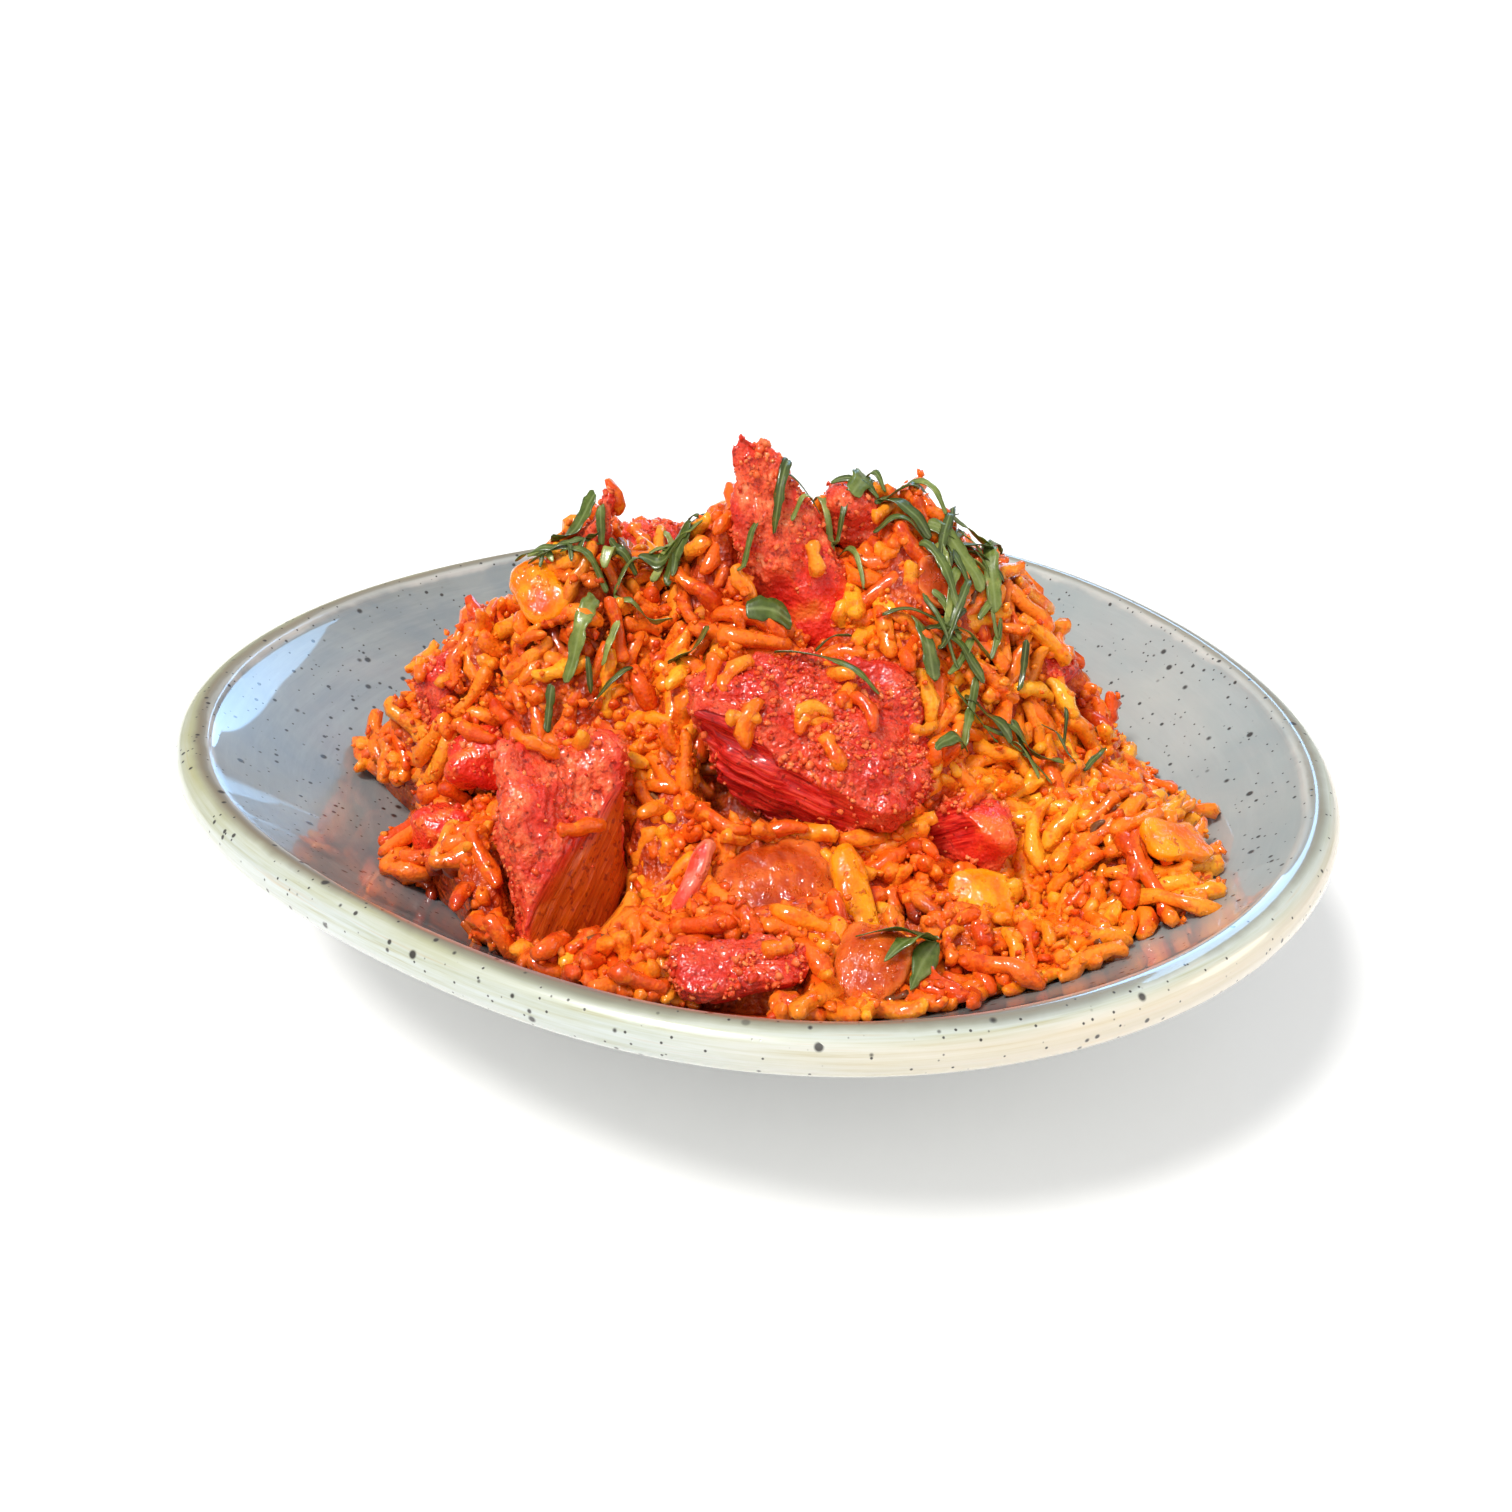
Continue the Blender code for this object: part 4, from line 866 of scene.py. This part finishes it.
def chicken_mesh(name, seed, middle, half, turn_by, taper, lean, power):
    """The block moved in and out along its normals: torn lumps all over, meat fibres on the cut
    side (noise stretched along the fibre), and a granular crust (small noise) everywhere else."""
    across = int(np.clip(max(half) * 7, 44, 136))
    local, *grid = block_surface(half, seed, CHICKEN_LUMPS, power, across, taper, lean)
    points = local @ turning(turn_by).T + np.array(middle)
    size = min(1.0, max(half) / 11.0)
    torn = (1.3 * noise(points, 9.0, seed + 70) + 0.9 * noise(points, 4.5, seed + 80)
            + 0.35 * noise(points, 2.2, seed + 85))
    points += outward(points, *grid) * ((torn - 0.7) * size * TORN_DEPTH.get(name, 1.0))[:, None]
    cut_way, cut_at, fibre_way = CUT_SIDES.get(name, ((0, 0, -1), 99.0, (1, 0, 0)))
    cut_way, fibre_way = unit(cut_way), np.array(fibre_way)
    fibre_way = unit(fibre_way - cut_way * (cut_way @ fibre_way))
    beyond = (points - np.array(middle)) @ cut_way - cut_at + 0.5 * noise(points, 5.0, seed + 60)
    points -= cut_way * (CUT_FLATNESS * np.maximum(beyond, 0))[:, None]
    cut = soft_step((beyond - 0.6) / 0.25)
    normal = outward(points, *grid)
    fibre_place = points - 0.95 * (points @ fibre_way)[:, None] * fibre_way
    fibre = np.abs(noise(fibre_place, 1.5, seed + 50)) + 0.5 * np.abs(noise(fibre_place, 0.8, seed + 51))
    fibre_bend = 0.8 * noise(points, 6.0, seed + 53)[:, None]
    layers = np.abs(noise(fibre_place + fibre_bend, 3.2, seed + 52))
    smooth_middle, smooth_reach = SMOOTH_PLACES.get(name, ((0, 0, 0), 0.1))
    smooth_gap = np.linalg.norm(points - np.array(smooth_middle), axis=1) / smooth_reach
    smooth = soft_step((0.85 - smooth_gap - 0.25 * noise(points, 4.0, seed + 61)) / 0.08)
    grain = np.abs(noise(points, 1.3, seed + 90)) + 0.6 * np.abs(noise(points, 0.75, seed + 95))
    relief = (0.75 * (grain - 0.45) * (1 - cut) * (1 - 0.9 * smooth)
              + cut * (0.6 - FIBRE_DEPTH.get(name, 0.7) * fibre - LAYER_DEPTH.get(name, 1.2) * layers))
    points = points + normal * (relief * size)[:, None]
    inside = np.clip((beyond - 0.9 + 0.5 * noise(points, 3.0, seed + 64)) / 2.2, 0, 1)
    mesh = tube_mesh(name, points, *grid, cut=cut, smooth=smooth, brown=inside * (name in BROWN_CUTS),
                     dark=np.full(len(points), name in DARK_CRUSTS), fibre_place=fibre_place / 10)
    crusted = (1 - cut) * (1 - smooth) * (noise(points, 6.0, seed + 97) > -0.35) * (normal[:, 2] > -0.35)
    return mesh, points, normal, crusted


def chicken_material():
    """Tandoori chicken: crimson flesh, orange-red masala crust with dark pits, wet smooth places."""
    n = Nodes("tandoori_chicken")
    cut, smooth = n.attribute("cut"), n.attribute("smooth")
    fibre = n.mottle(16.0, 4.0, 0.62, place=n.attribute("fibre_place", "Vector"))
    crimson = n.ramp(fibre, (0.34, (0.30, 0.004, 0.004)), (0.50, (0.66, 0.014, 0.010)),
                     (0.66, (0.90, 0.075, 0.035)))
    brown = n.ramp(fibre, (0.28, (0.44, 0.042, 0.002)), (0.50, (0.60, 0.080, 0.004)),
                   (0.72, (0.76, 0.135, 0.006)))
    crust = n.ramp(n.mottle(330.0, 5.0, 0.72), (0.32, (0.46, 0.022, 0.006)),
                   (0.47, (0.86, 0.085, 0.024)), (0.58, (0.97, 0.170, 0.055)), (0.72, (0.98, 0.36, 0.16)))
    crust = n.over(crust, n.mottle(120.0, 3.0), ((0.46, 0.0), (0.60, 0.75)), (0.72, 0.020, 0.013))
    crust = n.mix(n.times(n.attribute("dark"), 0.55), crust, (0.62, 0.020, 0.010))
    skin = n.ramp(n.mottle(140.0, 3.0), (0.35, (0.66, 0.014, 0.010)), (0.50, (0.88, 0.040, 0.016)),
                  (0.64, (0.97, 0.18, 0.025)))
    colour = n.mix(cut, n.mix(smooth, crust, skin), n.mix(n.attribute("brown"), crimson, brown))
    pits = n.ramp(n.mottle(850.0, 2.0), (0.32, 0.75), (0.42, 0.0))
    colour = n.mix(n.times(pits, n.sum("SUBTRACT", 1.0, smooth)), colour, (0.24, 0.008, 0.003))
    relief = n.mix(cut, n.plus(n.cells(1250.0), n.mottle(1500.0, 3.0)), fibre)
    rough = n.ramp(n.mottle(420.0, 2.0), (0.36, 0.24), (0.62, 0.55))
    return n.finish(Base_Color=colour, Roughness=n.mix(smooth, rough, (0.20, 0.20, 0.20)),
                    Normal=n.bump(relief, 0.55, 0.0005), Specular_IOR_Level=0.12, Coat_Weight=0.7,
                    Coat_Roughness=0.08, Coat_IOR=1.36, Coat_Normal=n.bump(relief, 0.30, 0.0004),
                    Subsurface_Weight=0.08, Subsurface_Radius=(0.002, 0.0004, 0.0002), Subsurface_Scale=1.0)


tandoori = chicken_material()
chicken_rng = np.random.default_rng(5)
spots, ways = [], []
for seed, (name, middle, half, *shape) in enumerate(CHICKEN):
    mesh, points, normal, crusted = chicken_mesh(name, seed, middle, half, *shape)
    food.append(add_piece(name + "_meat", mesh, tandoori, "tandoori_chicken", name))
    crusted += 0.02
    count = int(np.prod(half) ** (2 / 3) * CRUST_SHARE.get(name, 3.6))
    chosen = chicken_rng.choice(len(points), count, p=crusted / crusted.sum())
    spots.append(points[chosen])
    ways.append(normal[chosen])
spots, ways = np.concatenate(spots), np.concatenate(ways)
size = 0.20 + 0.45 * chicken_rng.random(len(spots)) ** 3.0
mesh = crumb_mesh("crumbs_crust", spots + ways * (size * 0.35)[:, None], size,
                  chicken_rng.random(len(spots)), chicken_rng)
finish = rice_material("crumbs_crust", (0.96, 0.26, 0.08), (0.88, 0.11, 0.022), (0.66, 0.030, 0.009),
                       (0.62, 0.022, 0.008))
food.append(add_piece("crumbs_crust", mesh, finish, "tandoori_chicken"))

# single grains of rice that cling to the meat
LOOSE_GRAINS = 56
lying = np.flatnonzero((ways[:, 2] > 0.15) & (spots[:, 2] < 90))
lying = chicken_rng.choice(lying, LOOSE_GRAINS, replace=False)
along = unit(np.cross(ways[lying], chicken_rng.normal(size=(LOOSE_GRAINS, 3))))
mesh = grain_mesh("rice_loose", spots[lying] + ways[lying] * 0.45, along,
                  chicken_rng.uniform(5.0, 10.5, LOOSE_GRAINS), chicken_rng.uniform(1.2, 1.6, LOOSE_GRAINS),
                  chicken_rng.random(LOOSE_GRAINS), chicken_rng)
food.append(add_piece("rice_loose", mesh, rice_finish["rice_orange"], "spiced_rice"))

# ------------------------------------------------------------
# Onion and sweet pepper. Petals of onion cooked until brown and see-through, and cut strips of
# yellow and orange pepper, soft at their edges and slick with oil. They are pressed into the rice.
# ------------------------------------------------------------
VEGETABLE_LUMPS = 0.08


def vegetable_mesh(name, seed, middle, half, turn_by, curl):
    """A flat rounded block, curled at its ends, with a wavy outline and soft wrinkles."""
    across = int(np.clip(max(half) * 6, 34, 70))
    local, *grid = block_surface(half, seed, VEGETABLE_LUMPS, 3.0, across, curl=curl)
    local[:, :2] *= 1 + 0.16 * noise(local * [1, 1, 0] + [0, 0, seed], 5.5, seed + 3)[:, None]
    local[:, 2] += 0.7 * noise(local * [1, 1, 0], 6.0, seed + 4)
    ribs = np.abs(noise(local * [1, 0.16, 1], 3.4, seed))
    wrinkles = 0.22 * ribs + 0.28 * noise(local, 2.0, seed + 5)
    local = local + outward(local, *grid) * (wrinkles - 0.3)[:, None]
    edge = np.hypot(local[:, 0] / half[0], local[:, 1] / half[1])
    return tube_mesh(name, local @ turning(turn_by).T + np.array(middle), *grid,
                     edge=np.clip(edge, 0, 1), ribs=local * [0.1, 0.016, 0.1])


def vegetable_material(name, deep, full, light, edge_tone, clear):
    """Soft cooked vegetable: clouded colour in long ribs, a brighter edge, sauce crumbs and a wet coat."""
    n = Nodes(name)
    ribs = n.mottle(6.0, 2.0, 0.5, place=n.attribute("ribs", "Vector"))
    clouds = n.mottle(120.0, 4.0, 0.6)
    colour = n.ramp(n.plus(n.times(ribs, 0.2), n.times(clouds, 0.8)), (0.38, deep), (0.50, full), (0.63, light))
    colour = n.over(colour, n.attribute("edge"), ((0.80, 0.0), (0.98, 0.7)), edge_tone)
    crumbs = n.ramp(n.mottle(480.0, 4.0, 0.65), (0.58, 0.0), (0.66, 0.8))
    colour = n.mix(crumbs, colour, (0.62, 0.06, 0.006))
    relief = n.plus(n.mottle(260.0, 3.0), n.times(crumbs, 0.6))
    wet = n.bump(n.plus(relief, n.mottle(480.0, 2.0)), 0.8, 0.0012)
    return n.finish(Base_Color=colour, Roughness=0.30, Normal=n.bump(relief, 0.6, 0.0009), Coat_Normal=wet,
                    Specular_IOR_Level=0.05, Coat_Weight=0.9, Coat_Roughness=0.03, Coat_IOR=1.36,
                    Subsurface_Weight=clear, Subsurface_Radius=(0.004, 0.001, 0.0003), Subsurface_Scale=1.0)


VEGETABLE_TONES = (         # deep, full, light and edge tones, and how much light passes in
    ("cooked_onion", (0.34, 0.028, 0.002), (0.56, 0.066, 0.006), (0.82, 0.160, 0.018), (0.86, 0.20, 0.03), 0.2),
    ("sweet_pepper", (0.84, 0.10, 0.002), (0.95, 0.20, 0.002), (0.99, 0.37, 0.004), (0.99, 0.32, 0.004), 0.15),
    ("pink_onion", (0.62, 0.030, 0.014), (0.86, 0.075, 0.035), (0.95, 0.20, 0.11), (0.95, 0.30, 0.16), 0.15),
)
vegetable_finish = {name: vegetable_material(name, *tones) for name, *tones in VEGETABLE_TONES}
for seed, (name, *shape) in enumerate(VEGETABLES, start=40):
    slot = "cooked_onion" if name.startswith("onion") else "sweet_pepper"
    finish = vegetable_finish["pink_onion" if name == "pepper_pink" else slot]
    food.append(add_piece(name + "_cooked", vegetable_mesh(name, seed, *shape), finish, slot, name))

# ------------------------------------------------------------
# Herbs. Leaves of fresh coriander and mint cut into shreds, dropped on last. Each is a thin
# folded strip, dark green above with a paler midrib, that bends over whatever it fell on.
# ------------------------------------------------------------
HERBS = (                   # name, start x and y, heading in degrees, length, width, bend and arch
    ("herb_left_bent", -38, 1, 12, 13, 3.4, 3, 0.7),
    ("herb_left_long", -29, -10, 250, 17, 3.2, -3, 0.4),
    ("herb_left_cluster_a", -22, 2, -20, 15, 3.0, 3, 0.5),
    ("herb_left_cluster_b", -17, -3, 35, 12, 2.6, -2, 0.4),
    ("herb_mid_left", -16, -18, 5, 10, 3.4, 3, 0.4),
    ("herb_peak_leaf", -2, -17.5, 5, 9, 4.0, 1, 0.4),
    ("herb_top_a", 17, -2, 60, 12, 3.8, 3, 0.7),
    ("herb_top_b", 22, 1, -15, 12, 2.8, -2, 0.8),
    ("herb_right_cluster_a", 31, 0, -30, 16, 3.2, -3, 0.8),
    ("herb_right_cluster_b", 43, 3, 265, 15, 3.0, 2, 0.7),
    ("herb_right_cluster_c", 33, -2, 10, 12, 2.6, 2, 0.7),
    ("herb_right_mid_a", 28, -16, -75, 13, 3.4, 2, 0.5),
    ("herb_right_mid_b", 34, -17, -30, 11, 2.8, 2, 0.5),
    ("herb_right_mid_c", 37, -21, -10, 12, 3.0, -2, 0.4),
    ("herb_centre_strip", 3, -24, -10, 20, 1.6, -3, 0.6),
    ("herb_right_strip", 45, -21, -15, 14, 2.4, 2, 0.8),
    ("herb_front_leaf", 17, -76, 30, 15, 4.6, 2, 0.8),
    ("herb_rear_a", -8, 34, 40, 14, 3.2, 3, 0.5),
    ("herb_rear_b", 24, 32, 160, 13, 3.0, -3, 0.5),
)
# the lobes of a whole leaf: start x and y, heading, length, width, bend and arch
LOBES = {
    "herb_front_leaf": ((29, -68, 215, 12.5, 4.0, 1, 0.8), (28, -69, 196, 13, 3.0, -2, 0.9),
                        (28.5, -69, 238, 11, 3.4, 1, 0.5)),
}
LEAF_THICKNESS = 0.2
LEAF_STATIONS, LEAF_COLUMNS = 30, 5
STIFFNESS = 10              # stations to each side that a strip bridges over
# tangles of finer shreds: middle, spread, how many, mean length, mean width, all in millimetres
SHRED_HEAPS = (
    (-21, 0, 8, 10, 12, 1.7), (-37, -4, 7, 5, 11, 1.5), (20, 0, 6, 8, 13, 1.9), (36, 0, 8, 16, 14, 1.8),
    (33, -20, 8, 10, 13, 1.8), (43, -14, 6, 5, 10, 1.7), (3, -12, 12, 4, 8, 1.4), (45, -22, 5, 4, 12, 1.7),
    (-30, -20, 7, 4, 10, 1.6), (58, -20, 8, 3, 9, 1.6), (0, 22, 22, 11, 12, 1.8), (-10, 8, 30, 7, 11, 1.6),
    (30, 34, 14, 7, 12, 1.7),
)


def food_tree(pieces):
    """A search tree over the faces of finished pieces."""
    points, faces = [], []
    for piece in pieces:
        base = len(points)
        points.extend(tuple(vertex.co) for vertex in piece.data.vertices)
        faces.extend([base + index for index in face.vertices] for face in piece.data.polygons)
    return BVHTree.FromPolygons(points, faces)


def top_heights(x, y):
    """Heights in mm of the food under each point, by a ray let down from above."""
    found = []
    for place_x, place_y in zip(x - CENTRE[0], y - CENTRE[1]):
        hit = tree.ray_cast(Vector((place_x * MM, place_y * MM, 0.2)), Vector((0, 0, -1)))[0]
        found.append(hit.z / MM if hit else INNER_FLOOR)
    return np.array(found)


def runs(values, reach):
    """For each value, the run of its neighbours up to a reach each way, the ends repeated."""
    return np.lib.stride_tricks.sliding_window_view(np.pad(values, reach, mode="edge"), 2 * reach + 1)


def leaf(seed, x, y, heading, length, width, bend, arch, pointed=False):
    """A folded strip on a bent line: a grid of stations by columns, lifted to lie on the food, its
    two faces split by a small thickness, with ragged edges, blunt ends and a fold along the middle.
    Its length is measured along the way it lies, so that over a step it reaches less far. Returns
    its points, and how far each lies from the midrib."""
    fine = np.linspace(0, 1, 2 * LEAF_STATIONS)
    cosine, sine = math.cos(math.radians(heading)), math.sin(math.radians(heading))
    line = columns(fine * length, bend * fine ** 2) @ np.array([[cosine, sine], [-sine, cosine]])
    line += np.array([x, y])
    step = np.gradient(line, axis=0)
    side = unit(columns(-step[:, 1], step[:, 0]))
    height = np.maximum.reduce([top_heights(*(line + side * offset * width / 2).T) for offset in (-0.7, 0, 0.7)])
    height = runs(height, STIFFNESS).max(1) * 0.45 + runs(height, STIFFNESS).mean(1) * 0.55
    height = runs(height, 5).mean(1)
    travelled = np.concatenate([[0], np.cumsum(np.hypot(np.diff(height), length / (len(fine) - 1)))])
    share = np.linspace(0, 1, LEAF_STATIONS)
    path = np.array([np.interp(share * length, travelled, values) for values in (*line.T, height, *side.T)])
    line, height, side = path[:2].T, path[2] + 0.25 + arch * np.sin(math.pi * share), path[3:].T
    column = np.linspace(-1, 1, LEAF_COLUMNS)
    shape = np.clip(np.minimum(share * 14 + 0.5, (1 - share) * 9 + 0.4), 0, 1)
    shape *= 0.80 + 0.20 * np.sin(math.pi * share)
    if pointed:
        shape = np.minimum(share * 3 + 0.25, ((1 - share) * 1.9) ** 0.8 + 0.04).clip(0, 1)
    along = columns(share * length + seed * 40, 0, 0)
    ragged = 1 + 0.22 * noise(along, 1.2, 7)
    twist = 0.9 * noise(along, 7.0, 8)[:, None]
    half_width = (width / 2 * shape * ragged)[:, None] * column
    fold = 0.25 * np.abs(column) * width / 2 * (0.4 + 0.6 * np.sin(3 * share + seed))[:, None]
    xy = line[:, None] + side[:, None] * half_width[..., None] * np.sqrt(1 - 0.5 * twist ** 2)[..., None]
    low = np.concatenate([xy, (height[:, None] + fold + half_width * twist)[..., None]], -1)
    ring = np.concatenate([low + [0, 0, LEAF_THICKNESS], low[:, ::-1]], 1).reshape(-1, 3)
    sides = 2 * LEAF_COLUMNS
    rib = np.tile(np.abs(np.append(column, column[::-1])), LEAF_STATIONS)
    return np.concatenate([ring, [ring[:sides].mean(0), ring[-sides:].mean(0)]]), np.append(rib, [0.5, 0.5])


def add_leaves(name, leaves, tones, *nodes):
    """One piece made of strips, each with its own tone."""
    points, rib = (np.concatenate(parts) for parts in zip(*leaves))
    mesh = tube_mesh(name, points, LEAF_STATIONS, 2 * LEAF_COLUMNS, True, from_rib=rib,
                     tint=np.repeat(tones, len(leaves[0][0])))
    add_piece(name, mesh, herb_leaf, "fresh_herb", *nodes)


def leaf_material():
    """Fresh herb leaf: deep to yellow green, paler along the midrib and in flecks, a little shine."""
    n = Nodes("fresh_herb")
    patchy = n.plus(n.times(n.mottle(260.0, 4.0, 0.65), 0.6), n.times(n.attribute("tint"), 0.4))
    colour = n.ramp(patchy, (0.25, (0.032, 0.040, 0.006)), (0.46, (0.075, 0.112, 0.015)),
                    (0.62, (0.18, 0.225, 0.045)), (0.80, (0.48, 0.50, 0.13)))
    colour = n.over(colour, n.attribute("from_rib"), ((0.0, 0.6), (0.25, 0.0)), (0.26, 0.32, 0.11))
    colour = n.over(colour, n.mottle(300.0, 3.0), ((0.66, 0.0), (0.72, 0.6)), (0.50, 0.12, 0.015))
    return n.finish(Base_Color=colour, Roughness=0.38, Normal=n.bump(n.mottle(900.0, 3.0), 0.35, 0.0003),
                    Specular_IOR_Level=0.25, Coat_Weight=0.2, Coat_Roughness=0.12, Subsurface_Weight=0.1,
                    Subsurface_Radius=(0.0004, 0.0008, 0.0002), Subsurface_Scale=1.0)


herb_leaf = leaf_material()
tree = food_tree(food)
leaf_rng = np.random.default_rng(12)
for seed, (name, *shape) in enumerate(HERBS):
    leaves = [leaf(seed + 60 + k, *lobe, True) for k, lobe in enumerate(LOBES.get(name, ()))]
    leaves = leaves or [leaf(seed, *shape)]
    add_leaves(name + "_leaf", leaves, np.repeat(leaf_rng.uniform(0.2, 0.75), len(leaves)), name)
shreds = []
for x, y, spread, count, long, wide in SHRED_HEAPS:
    for _ in range(count):
        shift_x, shift_y = leaf_rng.normal(0, spread / 2, 2)
        shreds.append(leaf(len(shreds) + 30, x + shift_x, y + shift_y, leaf_rng.uniform(0, 360),
                           long * leaf_rng.uniform(0.55, 1.2), wide * leaf_rng.uniform(0.45, 1.05),
                           leaf_rng.uniform(-4, 4), leaf_rng.uniform(0.2, 1.6)))
add_leaves("herb_shreds", shreds, leaf_rng.random(len(shreds)) ** 1.3)

# ------------------------------------------------------------
# Camera, table and studio light. The camera looks down on the bowl from the eater's side. The
# table is a pale sheet, lit by a soft sky and four broad suns; oval lamps give the mirrored lights.
# ------------------------------------------------------------
CAMERA_DISTANCE = 314.0
CAMERA_HEIGHT_ANGLE = math.radians(27.35)       # of the camera over the rim's plane
CAMERA_PITCH, CAMERA_YAW = 29.09, 0.046         # of the line of sight, in degrees
CAMERA_LENS, CAMERA_SENSOR = 38.595, 36.0
TABLE_HALF = 4.0                                # in metres, as are the lamps' places and sizes
SUNS = (                    # name, the way to it, strength, apparent size in degrees, colour
    ("broad_light", (-0.1, 0.1, 1.0), 0.70, 110.0, (1.0, 1.0, 1.0)),
    ("front_light", (-0.25, -0.90, 0.65), 0.50, 60.0, (1.0, 1.0, 1.0)),
    ("key_light", (-0.36, -0.28, 0.89), 2.35, 16.0, (1.0, 0.98, 0.95)),
    ("right_light", (0.90, -0.25, 0.42), 0.50, 50.0, (1.0, 0.98, 0.95)),
)
# soft oval lamps that face the food and are only seen mirrored in the glaze and in what is wet:
# name, place, size, watts, colour and the way the first side is laid
LAMP_AIM = Vector((0, 0, 0.05))
LAMPS = (
    ("window", (0.375, 0.92, 0.64), (1.35, 0.15), 4.5, (0.36, 0.64, 1.0), (-0.43, 0.69, -0.82)),
    ("glints", (-0.45, -0.50, 1.05), (0.18, 0.18), 22.0, (1.0, 0.98, 0.94), (1, 0, 0)),
    ("warm_side", (1.1, -0.1, 0.5), (0.3, 0.5), 1.6, (1.0, 0.82, 0.62), (1, 0, 0)),
)

camera_data = bpy.data.cameras.new("camera")
camera_data.lens, camera_data.sensor_width = CAMERA_LENS, CAMERA_SENSOR
camera = put("camera", camera_data)
camera.location = (Vector((0, -CAMERA_DISTANCE * math.cos(CAMERA_HEIGHT_ANGLE),
                           BOWL_HEIGHT + CAMERA_DISTANCE * math.sin(CAMERA_HEIGHT_ANGLE))) - Vector(CENTRE)) * MM
camera.rotation_euler = (math.radians(90 - CAMERA_PITCH), 0, math.radians(CAMERA_YAW))
bpy.context.scene.camera = camera

table_mesh = bpy.data.meshes.new("table")
table_mesh.from_pydata([(x * TABLE_HALF, y * TABLE_HALF, 0) for x, y in ((-1, -1), (1, -1), (1, 1), (-1, 1))],
                       [], [(0, 1, 2, 3)])
table_mesh.materials.append(Nodes("table").finish(Base_Color=(0.88, 0.88, 0.88), Roughness=0.8,
                                                  Emission_Color=(1.0, 1.0, 1.0), Emission_Strength=0.16))
put("table", table_mesh)

sky = bpy.data.worlds.new("studio")
bpy.context.scene.world = sky
sky.use_nodes = True
sky.node_tree.nodes["Background"].inputs["Color"].default_value = (1.0, 1.0, 1.0, 1)
sky.node_tree.nodes["Background"].inputs["Strength"].default_value = 0.32
for name, towards, strength, spread, colour in SUNS:
    sun = bpy.data.lights.new(name, "SUN")
    sun.energy, sun.angle, sun.color = strength, math.radians(spread), colour
    put(name, sun).rotation_euler = Vector(towards).to_track_quat("Z", "Y").to_euler()
for name, place, size, watts, colour, along in LAMPS:
    lamp = bpy.data.lights.new(name, "AREA")
    lamp.shape = "ELLIPSE"
    lamp.size, lamp.size_y = size
    lamp.energy, lamp.color = watts, colour
    back = (Vector(place) - LAMP_AIM).normalized()
    side = (Vector(along) - back * back.dot(Vector(along))).normalized()
    made = put(name, lamp)
    made.matrix_world = Matrix.Translation(place) @ Matrix((side, back.cross(side), back)).transposed().to_4x4()
    made.visible_diffuse = False
bpy.context.scene.view_settings.view_transform = "Standard"
